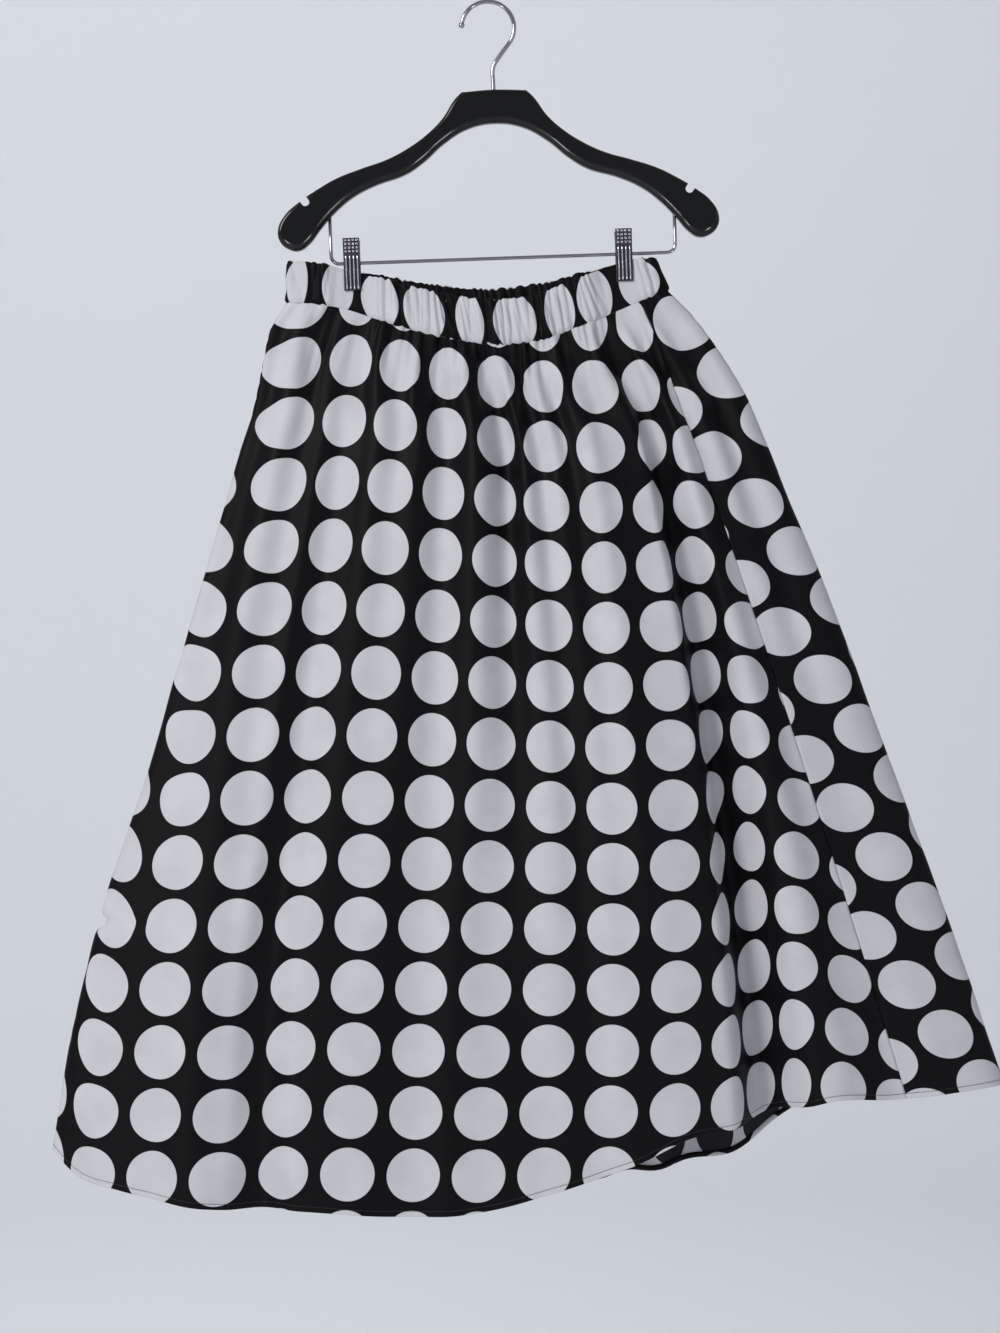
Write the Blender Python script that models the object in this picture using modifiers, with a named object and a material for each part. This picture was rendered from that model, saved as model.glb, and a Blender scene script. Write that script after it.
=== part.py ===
"""A gathered A-line midi skirt of two panels and an elastic waistband, hung by two clips from a hanger.

Metres, +Z up. The front of the skirt faces -Y and +X is to the right of someone looking at it.
The origin is inside the crown of the hanger's hook, where a rail carries it. Sizes below are in millimetres.
"""

import math
from collections import namedtuple

import bmesh
import bpy
import numpy as np
from mathutils import Matrix, Vector

MM = 0.001

# The cut: each panel is a sector of a ring, and the two together make a shallow cone
PANEL_ANGLE = 42.2
WAIST_RADIUS = 719.0
PANEL_LENGTH = 828.0
CONE_ANGLE = 2 * PANEL_ANGLE
HALF_PANEL = PANEL_ANGLE / 2
CLOTH_THICKNESS = 1.2
BAND_THICKNESS = 2.4
SEAM_GAP = 0.6
WAIST_SEAM_GAP = 0.5

# Gathers: one wave of the elastic waist has two columns of the cloth, a crest and a hollow
GATHERS = 72
COLUMN_ANGLE = CONE_ANGLE / (2 * GATHERS)
GATHER_REACH = 0.10
CLIP_FLATTENING = 0.9
CLIPPED_AT = (0.171, 0.884)
CLIPPED_REACH = 0.034
CLIPPED_FADE = 0.055
CLIPPED_BOW = 2.9
GATHER_PINCH_FADES = 0.06
GATHER_EDGE_POWER = 0.25
STIFF_COLUMNS = 1.6

# Where the rows of the mesh lie down a panel, from the waist seam at 0 to the hem at 1
PANEL_ROWS = (0.0, 0.02, 0.045, 0.08, 0.125, 0.19, 0.27, 0.36, 0.45, 0.54, 0.63, 0.72, 0.81, 0.905, 1.0)
BAND_ROWS = (0.0, 0.5, 1.0)
BAND_TOP_EDGES = (-187.0, 160.0)
HUNG_ROWS = 48

# Shares of the way down at which the depth is full, the clips' pinch is gone and the folds hang free
DEPTH_SETTLES = 0.2
PINCH_FADES = 0.12
FOLDS_FREE = 0.6
FOLD_EDGE_POWER = 0.7
FOLD_STATIONS = (0.0, 0.12, 0.5, 1.0)

# The fit of the folds to the cloth: how much stronger they may get, and how often that is halved
STRONGEST = 3.0
FITTING_STEPS = 22

# Places across the hanging skirt, 0 at its left edge and 1 at its right edge, closer together at the edges
ACROSS = (1 - np.cos(math.pi * np.linspace(0, 1, 700))) / 2

# The hanger, in its own upright frame, which hangs a little down at the left
HANGER_TILT = math.radians(-2.0)
WOOD_DEPTH = 15.0
WOOD_ROUNDING = 4.5
HOOK_WIRE = 4.2
HOOK_RADIUS = 25.0
WOOD_MIDDLE = 3.6
STEM_FOOT = -93.0
STEM_HOLE_FLOOR = -94.0
BAR_WIRE = 3.4
BAR_HEIGHT = -242.0
BAR_MIDDLE = 7.3
BAR_HALF_LENGTH = 163.5
BAR_CORNER = 8.0
BAR_TOP = -186.0
BAR_HOLE_FLOOR = -185.0
HOLE_DEPTH = 30.0
NOTCH_WIDTH = 7.6
NOTCH_END = (180.0, -186.5)
NOTCH_SLANT = math.radians(35.5)
NOTCH_REACH = 14.0
NOTCH_OVERCUT = 4.0
NOTCH_ROUNDING = 0.42 * NOTCH_WIDTH

# The clips, each two jaws sprung on a barrel round the bar
CLIP_PLACES = {"left": -136.6, "right": 121.6}
CLIP_WIDTH = 16.6
JAW_THICKNESS = 1.2
BARREL_RADIUS = 4.5
BARREL_BORE = 2.1
BARREL_LENGTH = 12.0
BARREL_STEPS = 14

Outline = namedtuple("Outline", "down left right")
Turn = namedtuple("Turn", "down left right")
Cut = namedtuple("Cut", "angle short")
Waist = namedtuple("Waist", "across seam top bow")
Hem = namedtuple("Hem", "across z")
Depth = namedtuple("Depth", "down front back front_flute back_flute")
Fold = namedtuple("Fold", "at_waist at_hem wide out_waist out_upper out_middle out_hem")
Lean = namedtuple("Lean", "down sideways")
Clear = namedtuple("Clear", "down least soft")
Wave = namedtuple("Wave", "height count start")
WoodEdge = namedtuple("WoodEdge", "out z corner")
Jaw = namedtuple("Jaw", "up away")

# Left and right edges of the hanging skirt, seen from the front
OUTLINE = (
    Outline(0.00, -190, 172),
    Outline(0.03, -205, 194),
    Outline(0.07, -213, 217),
    Outline(0.13, -223, 245),
    Outline(0.19, -238, 265),
    Outline(0.26, -254, 286),
    Outline(0.35, -275, 314),
    Outline(0.45, -298, 343),
    Outline(0.55, -321, 371),
    Outline(0.68, -357, 407),
    Outline(0.80, -383, 440),
    Outline(0.90, -400, 466),
    Outline(1.00, -412, 491),
)

# Part of the cone that hangs in front, in degrees from the front panel's middle
TURNS = (
    Turn(0.00, -16.2, 23.8),
    Turn(0.06, -15.6, 24.4),
    Turn(0.13, -14.9, 25.2),
    Turn(0.26, -14.6, 25.3),
    Turn(0.50, -14.2, 25.0),
    Turn(0.70, -14.3, 25.0),
    Turn(0.90, -13.8, 24.8),
    Turn(1.00, -13.7, 24.7),
)

# How much shorter the front panel is than the full sector, by the angle from its middle
FRONT_CUT = (
    Cut(-21.1, 0),
    Cut(-5.0, 0),
    Cut(-1.0, 0),
    Cut(2.0, 2),
    Cut(4.8, 14),
    Cut(7.6, 30),
    Cut(10.0, 46),
    Cut(12.2, 38),
    Cut(14.5, 26),
    Cut(16.8, 9),
    Cut(19.0, 1),
    Cut(21.1, 0),
)

# The waistband: heights of its seam and its top edge, and how far it bows out between the clips that pinch it
FRONT_WAIST = (
    Waist(0.00, -284, -245, 12),
    Waist(0.09, -286, -248, 10.5),
    Waist(0.17, -292, -255, 9),
    Waist(0.25, -302, -262, 11),
    Waist(0.33, -311, -270, 13),
    Waist(0.42, -319, -277.5, 15),
    Waist(0.55, -325, -283.5, 17),
    Waist(0.65, -322, -280, 15.5),
    Waist(0.77, -307, -265, 12),
    Waist(0.88, -290, -249, 9),
    Waist(0.95, -279, -243, 9),
    Waist(1.00, -272, -242, 10),
)
BACK_WAIST = (
    Waist(0.00, -284, -245, 12),
    Waist(0.09, -286, -248, 10.5),
    Waist(0.17, -292, -255, 9),
    Waist(0.25, -300, -260, 9),
    Waist(0.35, -309, -268, 10),
    Waist(0.52, -317, -275, 12),
    Waist(0.66, -312, -270, 10.5),
    Waist(0.77, -302, -260, 9),
    Waist(0.88, -290, -249, 9),
    Waist(0.95, -279, -243, 9),
    Waist(1.00, -272, -242, 10),
)

# The hem's height across the skirt
FRONT_HEM = (
    Hem(0.00, -1087),
    Hem(0.03, -1111),
    Hem(0.07, -1121),
    Hem(0.12, -1130),
    Hem(0.18, -1137),
    Hem(0.25, -1137),
    Hem(0.36, -1142),
    Hem(0.45, -1141),
    Hem(0.52, -1135),
    Hem(0.59, -1127),
    Hem(0.66, -1116),
    Hem(0.71, -1099),
    Hem(0.75, -1075),
    Hem(0.80, -1051),
    Hem(0.89, -1038),
    Hem(1.00, -1025),
)
BACK_HEM = (
    Hem(0.00, -1087),
    Hem(0.06, -1101),
    Hem(0.15, -1113),
    Hem(0.30, -1126),
    Hem(0.45, -1131),
    Hem(0.57, -1127),
    Hem(0.65, -1115),
    Hem(0.72, -1099),
    Hem(0.76, -1072),
    Hem(0.82, -1050),
    Hem(0.90, -1042),
    Hem(1.00, -1025),
)

# How far front and back stand out from the middle plane, and the height of soft flutes between the folds
DEPTHS = (
    Depth(0.00, 14, 11, 0.0, 0.0),
    Depth(0.05, 22, 20, 3.0, 5.0),
    Depth(0.10, 29, 31, 5.0, 8.5),
    Depth(0.25, 38, 47, 4.0, 12.0),
    Depth(0.50, 46, 59, 2.6, 15.0),
    Depth(0.75, 51, 67, 1.6, 18.0),
    Depth(1.00, 55, 73, 1.2, 20.0),
)

# Large folds: where they run, their half width as a share of the skirt's width, and how far they stand out
FRONT_FOLDS = (
    Fold(0.055, 0.150, 0.050, 0, 3, 5, 5),
    Fold(0.172, 0.215, 0.042, 0, -9, -7, -6),
    Fold(0.270, 0.300, 0.060, 0, 5, 3, 1),
    Fold(0.390, 0.383, 0.038, 0, -5, -2, 0),
    Fold(0.450, 0.418, 0.035, 0, 4, 3, 1),
    Fold(0.520, 0.455, 0.045, 0, -9, -5, -1),
    Fold(0.690, 0.610, 0.075, 0, 9, 8, 4),
    Fold(0.795, 0.724, 0.052, 0, -14, -39, -63),
    Fold(0.862, 0.800, 0.048, 0, 6, 12, 18),
    Fold(0.940, 0.885, 0.045, 0, -5, -9, -12),
)
BACK_FOLDS = (
    Fold(0.12, 0.110, 0.070, 0, -4, -7, -9),
    Fold(0.30, 0.280, 0.070, 0, 4, 7, 9),
    Fold(0.52, 0.500, 0.080, 0, -4, -8, -10),
    Fold(0.72, 0.740, 0.070, 0, 3, 6, 8),
    Fold(0.88, 0.900, 0.060, 0, -3, -6, -8),
)

# How far the front's deepest fold leans to the right, and where its ridge is, at the waist and at the hem
LEANING = (
    Lean(0.00, 0),
    Lean(0.10, 9),
    Lean(0.30, 12),
    Lean(0.50, 9),
    Lean(0.75, 3),
    Lean(1.00, 0),
)
LEANING_RIDGE = (0.745, 0.680)
LEANING_WIDTH = 0.050

# How near a hollow of one side may come to the middle plane, and how softly it stops there
APART = (
    Clear(0.00, 1.5, 0.30),
    Clear(0.03, 4.5, 1.32),
    Clear(0.05, 4.5, 2.00),
    Clear(0.35, 4.5, 2.00),
    Clear(0.70, -40.0, 2.00),
)
LEAST_SOFT = 0.01

# How unevenly the soft flutes are spaced and how unevenly high they are, in waves across the skirt
SPACING_SWAY = Wave(0.30, 1.3, 0.0)
SPACING_RIPPLE = Wave(0.16, 3.1, 1.0)
HEIGHT_SWAY = Wave(0.35, 2.3, 0.7)

# The wooden hanger's middle, and upper and lower edge of one arm, outwards from there
TOP_MIDDLE = WoodEdge(0, -82, False)
UNDER_MIDDLE = WoodEdge(0, -114, False)
ARM_TOP = (
    WoodEdge(31, -83.5, True),
    WoodEdge(38, -90.5, False),
    WoodEdge(50, -108, False),
    WoodEdge(64, -121.5, False),
    WoodEdge(82, -134, False),
    WoodEdge(103, -144.5, False),
    WoodEdge(128, -152.5, False),
    WoodEdge(152, -161, False),
    WoodEdge(170, -170.5, False),
    WoodEdge(188, -182, False),
    WoodEdge(203, -195, False),
    WoodEdge(209.5, -208, False),
    WoodEdge(208, -219, False),
    WoodEdge(200, -226.5, False),
    WoodEdge(190, -228.5, False),
    WoodEdge(180, -222.5, False),
)
ARM_UNDER = (
    WoodEdge(168, -208, False),
    WoodEdge(154, -193, False),
    WoodEdge(136, -179, False),
    WoodEdge(115, -169, False),
    WoodEdge(86, -159.5, False),
    WoodEdge(68, -148, False),
    WoodEdge(50, -132.5, False),
    WoodEdge(26, -118.5, False),
)

# The hook's stem and soft neck, across and up, to where its round part begins
HOOK_NECK = (
    (WOOD_MIDDLE, STEM_FOOT),
    (3.2, -72.0),
    (3.0, -66.5),
    (3.4, -62.2),
    (5.1, -57.6),
    (8.5, -52.6),
    (13.2, -46.3),
)
HOOK_START = -42
HOOK_END = 172

# Inner face of a jaw: height from the bar and distance from the clip's middle plane
JAW_FACE = (
    Jaw(-26.5, 4.6),
    Jaw(-14.0, 5.0),
    Jaw(0.0, 4.85),
    Jaw(12.0, 6.4),
    Jaw(25.5, 9.4),
)


def clear_scene():
    for old in list(bpy.data.objects):
        bpy.data.objects.remove(old)


def collection_named(name):
    made = bpy.data.collections.new(name)
    bpy.context.scene.collection.children.link(made)
    return made


def material(name, colour, roughness, metallic=0.0):
    made = bpy.data.materials.new(name)
    made.use_nodes = True
    shader = made.node_tree.nodes["Principled BSDF"]
    shader.inputs["Base Color"].default_value = (*colour, 1)
    shader.inputs["Roughness"].default_value = roughness
    shader.inputs["Metallic"].default_value = metallic
    return made


def through(table, name, at):
    """A smooth line through one named column of a table, read at the places in its first column."""
    known = np.array([row[0] for row in table], float)
    value = np.array([getattr(row, name) for row in table], float)
    slope = np.gradient(value, known)
    k = np.clip(np.searchsorted(known, at) - 1, 0, len(known) - 2)
    step = known[k + 1] - known[k]
    t = np.clip((at - known[k]) / step, 0, 1)
    start, end = value[k], value[k + 1]
    leave, arrive = slope[k] * step, slope[k + 1] * step
    return (
        start * (2 * t**3 - 3 * t**2 + 1)
        + leave * (t**3 - 2 * t**2 + t)
        + end * (3 * t**2 - 2 * t**3)
        + arrive * (t**3 - t**2)
    )


def straight(table, name, at):
    """A named column of a table, read along straight lines between its rows."""
    return np.interp(at, [row[0] for row in table], [getattr(row, name) for row in table])


def between(pair, share):
    return pair[0] + (pair[1] - pair[0]) * share


def hem_share(cut, angle):
    """Where the cut edge lies down the cone's full length, for a column of the cloth."""
    return 1 - through(cut, "short", angle) / PANEL_LENGTH


def eased(t):
    t = np.clip(t, 0, 1)
    return t * t * (3 - 2 * t)


def fold_heights(folds, across, down):
    """How far the large folds stand out across a row, each a soft ridge or trough."""
    total = np.zeros_like(across)
    for fold in folds:
        at = between((fold.at_waist, fold.at_hem), down)
        heights = (fold.out_waist, fold.out_upper, fold.out_middle, fold.out_hem)
        out = np.interp(down, FOLD_STATIONS, heights)
        near = np.clip(np.abs(across - at) / fold.wide, 0, 1)
        total += out * (1 + np.cos(math.pi * near)) / 2
    return total


def wave_across(wave, across, shift=0.0):
    return wave.height * np.sin(2 * math.pi * wave.count * across + wave.start + shift)


def flute_heights(across, count, shift):
    """Soft flutes that carry the gathers down the cloth, about 1 high and uneven in spacing and height."""
    phase = count * across + wave_across(SPACING_SWAY, across, shift) + wave_across(SPACING_RIPPLE, across)
    height = 1 + wave_across(HEIGHT_SWAY, across, shift)
    return height * np.sin(2 * math.pi * phase + shift)


Side = namedtuple("Side", "sign waist hem depth folds flutes shift")
FRONT = Side(-1, FRONT_WAIST, FRONT_HEM, "front", FRONT_FOLDS, 12.0, 0.4)
BACK = Side(1, BACK_WAIST, BACK_HEM, "back", BACK_FOLDS, 11.0, 2.1)


def row_lengths(points):
    steps = np.linalg.norm(np.diff(points, axis=0), axis=1)
    return np.concatenate([[0], np.cumsum(steps)])


def near_clip(across):
    """1 at the two places that the clips pinch flat, 0 away from them."""
    away = np.min([np.abs(across - at) for at in CLIPPED_AT], axis=0)
    return 1 - eased((away - CLIPPED_REACH) / CLIPPED_FADE)


def kept_apart(out, rim, down):
    """Stops a hollow of one side short of the other side, in the upper part where the two hang close."""
    least = rim * straight(APART, "least", down)
    soft = LEAST_SOFT + rim * straight(APART, "soft", down)
    return least + soft * np.logaddexp(0, (out - least) / soft)


def side_curve(side, down, strength):
    """One side of a row, from the skirt's left edge to its right edge, without its gathers."""
    left = through(OUTLINE, "left", down)
    right = through(OUTLINE, "right", down)
    seam = through(side.waist, "seam", ACROSS)
    hem = through(side.hem, "z", ACROSS)
    rim = np.sqrt(np.clip(1 - (2 * ACROSS - 1) ** 2, 0, 1))
    pinched = through(side.waist, "bow", ACROSS)
    full = through(DEPTHS, side.depth, down)
    bulge = rim * (pinched + (full - pinched) * eased(down / DEPTH_SETTLES))
    bulge += (CLIPPED_BOW - bulge) * near_clip(ACROSS) * (1 - eased(down / PINCH_FADES))
    folds = fold_heights(side.folds, ACROSS, down) * (1 + (strength - 1) * eased(down / FOLDS_FREE))
    flute = through(DEPTHS, f"{side.depth}_flute", down) * strength
    flutes = flute * flute_heights(ACROSS, side.flutes, side.shift)
    out = kept_apart(bulge + (folds + flutes) * rim**FOLD_EDGE_POWER, rim, down)
    sideways = left + (right - left) * ACROSS
    if side is FRONT:
        near = np.clip(np.abs(ACROSS - between(LEANING_RIDGE, down)) / LEANING_WIDTH, 0, 1)
        sideways += through(LEANING, "sideways", down) * (1 + np.cos(math.pi * near)) / 2
    return np.stack([sideways, side.sign * out, seam + (hem - seam) * down], axis=1)


def fitted_side(side, down, cloth_length):
    """A side's curve whose folds are as deep as the cloth in the row is long."""
    low, high = 0.0, STRONGEST
    for _ in range(FITTING_STEPS):
        middle = (low + high) / 2
        if row_lengths(side_curve(side, down, middle))[-1] < cloth_length:
            low = middle
        else:
            high = middle
    return side_curve(side, down, low)


def gather_share(down):
    return np.clip(1 - down / GATHER_REACH, 0, 1) ** 1.5


def gather_height(side_length, cloth_length, angle):
    """Height of a zigzag that takes up cloth_length in side_length."""
    half_wave = side_length / (angle / COLUMN_ANGLE)
    return half_wave / 2 * math.sqrt(max((cloth_length / side_length) ** 2 - 1, 0))


def loop_row(down):
    """A whole row round the skirt: the cone's angle and the place of each of its points."""
    left_angle = through(TURNS, "left", down)
    right_angle = through(TURNS, "right", down)
    radius = WAIST_RADIUS + PANEL_LENGTH * down
    angles, points = [], []
    for side, angle in ((FRONT, right_angle - left_angle), (BACK, CONE_ANGLE - right_angle + left_angle)):
        cloth = radius * math.radians(angle)
        flat = row_lengths(side_curve(side, down, 0))[-1]
        taken = 1 + (max(cloth / flat, 1) - 1) * gather_share(down)
        curve = fitted_side(side, down, cloth / taken)
        length = row_lengths(curve)
        share = length / length[-1]
        if side is FRONT:
            place = left_angle + angle * share
        else:
            place = left_angle + CONE_ANGLE - angle * share
        height = gather_height(length[-1], length[-1] * taken, angle)
        rim = np.sin(math.pi * np.clip(share, 0, 1)) ** GATHER_EDGE_POWER
        flat_there = 1 - CLIP_FLATTENING * near_clip(ACROSS) * (1 - eased(down / GATHER_PINCH_FADES))
        from_seam = ((place - HALF_PANEL) % PANEL_ANGLE) / COLUMN_ANGLE
        from_seam = np.minimum(from_seam, PANEL_ANGLE / COLUMN_ANGLE - from_seam)
        flat_there *= 1 - np.exp(-((from_seam / STIFF_COLUMNS) ** 2))
        curve[:, 1] += side.sign * height * rim * flat_there * np.cos(math.pi * place / COLUMN_ANGLE)
        angles.append(place if side is FRONT else place[::-1])
        points.append(curve if side is FRONT else curve[::-1])
    return np.concatenate(angles), np.concatenate(points)


def band_row(up):
    """A row round the waistband, at a share of the way from its seam to its top edge."""
    angles, points = loop_row(0.0)
    left, right = OUTLINE[0].left, OUTLINE[0].right
    across = (points[:, 0] - left) / (right - left)
    in_front = np.arange(len(angles)) < len(ACROSS)
    top = np.where(in_front, through(FRONT_WAIST, "top", across), through(BACK_WAIST, "top", across))
    points[:, 2] += (top - points[:, 2]) * up
    points[:, 0] += (between(BAND_TOP_EDGES, across) - points[:, 0]) * up
    return angles, points


def place_on(row, angle):
    """The point of a row at an angle of the cone, wherever that is round the skirt."""
    angles, points = row
    turned = (angle - angles[0]) % CONE_ANGLE + angles[0]
    return Vector([np.interp(turned, angles, points[:, k]) for k in range(3)]) * MM


def place_in(rows, angle, down):
    """The point at an angle of the cone and a share of the way down it, between evenly spaced rows."""
    k = min(int(down * (len(rows) - 1)), len(rows) - 2)
    share = down * (len(rows) - 1) - k
    return place_on(rows[k], angle).lerp(place_on(rows[k + 1], angle), share)


def finish_cloth(name, mesh, thickness, cloth, group):
    data = bpy.data.meshes.new(name)
    bmesh.ops.recalc_face_normals(mesh, faces=mesh.faces)
    mesh.to_mesh(data)
    mesh.free()
    data.shade_smooth()
    data.materials.append(cloth)
    piece = bpy.data.objects.new(name, data)
    group.objects.link(piece)
    wall = piece.modifiers.new("wall", "SOLIDIFY")
    wall.thickness = thickness * MM
    wall.offset = 0
    wall.use_even_offset = True
    wall.use_rim = True
    return piece


def make_panel(name, middle_angle, cut, hung, cloth, group):
    """A skirt panel: a grid laid in the cut's own rows and columns, then hung."""
    columns = GATHERS
    rows = len(PANEL_ROWS) - 1
    mesh = bmesh.new()
    bmesh.ops.create_grid(mesh, x_segments=columns, y_segments=rows, size=1)
    for point in mesh.verts:
        column = round((point.co.x + 1) / 2 * columns)
        row = round((1 - point.co.y) / 2 * rows)
        angle = PANEL_ANGLE * column / columns - HALF_PANEL
        down = PANEL_ROWS[row] * (hem_share(cut, angle) if cut else 1)
        inset = math.degrees(SEAM_GAP / 2 / (WAIST_RADIUS + PANEL_LENGTH * down))
        point.co = place_in(hung, middle_angle + angle + inset * (1 - 2 * column / columns), down)
        if row == 0:
            point.co.z -= WAIST_SEAM_GAP / 2 * MM
    return finish_cloth(name, mesh, CLOTH_THICKNESS, cloth, group)


def make_band(name, cloth, group):
    """The elastic waistband, a gathered casing all the way round."""
    columns = 2 * GATHERS
    rows = len(BAND_ROWS) - 1
    mesh = bmesh.new()
    bmesh.ops.create_grid(mesh, x_segments=columns, y_segments=rows, size=1)
    hung = [band_row(up) for up in BAND_ROWS]
    for point in mesh.verts:
        column = round((point.co.x + 1) / 2 * columns) % columns
        row = round((point.co.y + 1) / 2 * rows)
        point.co = place_on(hung[row], column * COLUMN_ANGLE)
        if row == 0:
            point.co.z += WAIST_SEAM_GAP / 2 * MM
    bmesh.ops.remove_doubles(mesh, verts=mesh.verts, dist=0.0001)
    return finish_cloth(name, mesh, BAND_THICKNESS, cloth, group)


def mesh_from_curve(curve, group):
    """Turns a curve object into a welded mesh object of the same name and place."""
    graph = bpy.context.evaluated_depsgraph_get()
    data = bpy.data.meshes.new_from_object(curve.evaluated_get(graph))
    mesh = bmesh.new()
    mesh.from_mesh(data)
    bmesh.ops.remove_doubles(mesh, verts=mesh.verts, dist=0.00001)
    bmesh.ops.recalc_face_normals(mesh, faces=mesh.faces)
    mesh.to_mesh(data)
    mesh.free()
    name = curve.name
    place = curve.matrix_world.copy()
    bpy.data.objects.remove(curve)
    piece = bpy.data.objects.new(name, data)
    piece.matrix_world = place
    group.objects.link(piece)
    return piece


def hanger_outline():
    """The wooden hanger's edge, once round, from the middle of its slightly crowned top."""
    right = ARM_TOP + ARM_UNDER
    left = tuple(WoodEdge(-edge.out, edge.z, edge.corner) for edge in reversed(right))
    return (TOP_MIDDLE,) + right + (UNDER_MIDDLE,) + left


def make_hanger_body(wood, group, cutters, tilt):
    data = bpy.data.curves.new("hanger_body", "CURVE")
    data.dimensions = "2D"
    data.fill_mode = "BOTH"
    data.resolution_u = 2
    data.extrude = (WOOD_DEPTH / 2 - WOOD_ROUNDING) * MM
    data.bevel_depth = WOOD_ROUNDING * MM
    data.bevel_resolution = 1
    data.offset = -WOOD_ROUNDING * MM
    outline = hanger_outline()
    spline = data.splines.new("BEZIER")
    spline.bezier_points.add(len(outline) - 1)
    spline.use_cyclic_u = True
    for point, edge in zip(spline.bezier_points, outline):
        point.co = ((WOOD_MIDDLE + edge.out) * MM, edge.z * MM, 0)
        kind = "VECTOR" if edge.corner else "AUTO"
        point.handle_left_type = kind
        point.handle_right_type = kind
    curve = bpy.data.objects.new("hanger_body", data)
    curve.matrix_world = Matrix.Rotation(math.pi / 2, 4, "X")
    group.objects.link(curve)
    bpy.context.view_layer.update()
    body = mesh_from_curve(curve, group)
    body.data.materials.append(wood)
    body.parent = tilt
    holes = [notch_cutter(direction, cutters, tilt) for direction in (-1, 1)]
    holes.append(hole_cutter(WOOD_MIDDLE, STEM_HOLE_FLOOR, 1, HOOK_WIRE, cutters, tilt))
    for direction in (-1, 1):
        across = BAR_MIDDLE + direction * BAR_HALF_LENGTH
        holes.append(hole_cutter(across, BAR_HOLE_FLOOR, -1, BAR_WIRE, cutters, tilt))
    for cutter in holes:
        cut = body.modifiers.new(cutter.name, "BOOLEAN")
        cut.operation = "DIFFERENCE"
        cut.object = cutter
    return body


def hole_cutter(across, floor, direction, wire, cutters, tilt):
    """A drilled hole for the end of a wire, open upwards for direction 1 and downwards for -1."""
    mesh = bmesh.new()
    radius = (wire / 2 + SEAM_GAP) * MM
    bmesh.ops.create_cone(
        mesh, cap_ends=True, segments=12, radius1=radius, radius2=radius, depth=HOLE_DEPTH * MM
    )
    data = bpy.data.meshes.new("wire_hole")
    mesh.to_mesh(data)
    mesh.free()
    cutter = bpy.data.objects.new("wire_hole", data)
    cutter.location = (across * MM, 0, (floor + direction * HOLE_DEPTH / 2) * MM)
    cutter.hide_render = True
    cutter.display_type = "WIRE"
    cutter.parent = tilt
    cutters.objects.link(cutter)
    return cutter


def notch_cutter(direction, cutters, tilt):
    """A round-ended slot through an arm, square to the arm's upper edge."""
    deep = WOOD_DEPTH + 2 * NOTCH_OVERCUT
    mesh = bmesh.new()
    bmesh.ops.create_cube(mesh, size=1)
    bmesh.ops.scale(mesh, verts=mesh.verts, vec=(NOTCH_WIDTH * MM, deep * MM, NOTCH_REACH * MM))
    bmesh.ops.translate(mesh, verts=mesh.verts, vec=(0, 0, NOTCH_REACH / 2 * MM))
    lower = [edge for edge in mesh.edges if max(end.co.z for end in edge.verts) < NOTCH_REACH / 2 * MM]
    along = [edge for edge in lower if edge.calc_length() > deep / 2 * MM]
    bmesh.ops.bevel(
        mesh, geom=along, offset=NOTCH_ROUNDING * MM, segments=4, profile=0.5, affect="EDGES", material=-1
    )
    bmesh.ops.recalc_face_normals(mesh, faces=mesh.faces)
    data = bpy.data.meshes.new("notch_cutter")
    mesh.to_mesh(data)
    mesh.free()
    cutter = bpy.data.objects.new("notch_cutter", data)
    turn = Matrix.Rotation(direction * NOTCH_SLANT, 4, "Y")
    across = WOOD_MIDDLE + direction * NOTCH_END[0]
    place = Matrix.Translation((across * MM, 0, NOTCH_END[1] * MM))
    cutter.matrix_world = place @ turn
    cutter.hide_render = True
    cutter.display_type = "WIRE"
    cutter.parent = tilt
    cutters.objects.link(cutter)
    return cutter


def make_wire(name, path, diameter, metal, group, tilt):
    """A round wire along points given as (across, up) in the hanger's own frame."""
    data = bpy.data.curves.new(name, "CURVE")
    data.dimensions = "3D"
    data.bevel_depth = diameter / 2 * MM
    data.bevel_resolution = 2
    data.use_fill_caps = True
    data.materials.append(metal)
    spline = data.splines.new("POLY")
    spline.points.add(len(path) - 1)
    for point, (across, up) in zip(spline.points, path):
        point.co = (across * MM, 0, up * MM, 1)
    wire = bpy.data.objects.new(name, data)
    wire.parent = tilt
    group.objects.link(wire)
    return wire


def arc(centre, radius, start, end, steps):
    angles = np.radians(np.linspace(start, end, steps))
    return [(centre[0] + radius * math.cos(a), centre[1] + radius * math.sin(a)) for a in angles]


def hook_path():
    """Up the stem, out along a soft neck and round the hook to its tip."""
    centre = (0.0, HOOK_WIRE / 2 - HOOK_RADIUS)
    return list(HOOK_NECK) + arc(centre, HOOK_RADIUS, HOOK_START, HOOK_END, 17)


def bar_path():
    """Down from one arm, along under the hanger and up to the other arm."""
    floor = BAR_HEIGHT + BAR_CORNER
    side = BAR_HALF_LENGTH - BAR_CORNER
    left = arc((BAR_MIDDLE - side, floor), BAR_CORNER, 180, 270, 5)
    right = arc((BAR_MIDDLE + side, floor), BAR_CORNER, 270, 360, 5)
    start = (BAR_MIDDLE - BAR_HALF_LENGTH, BAR_TOP)
    end = (BAR_MIDDLE + BAR_HALF_LENGTH, BAR_TOP)
    return [start] + left + right + [end]


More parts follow.
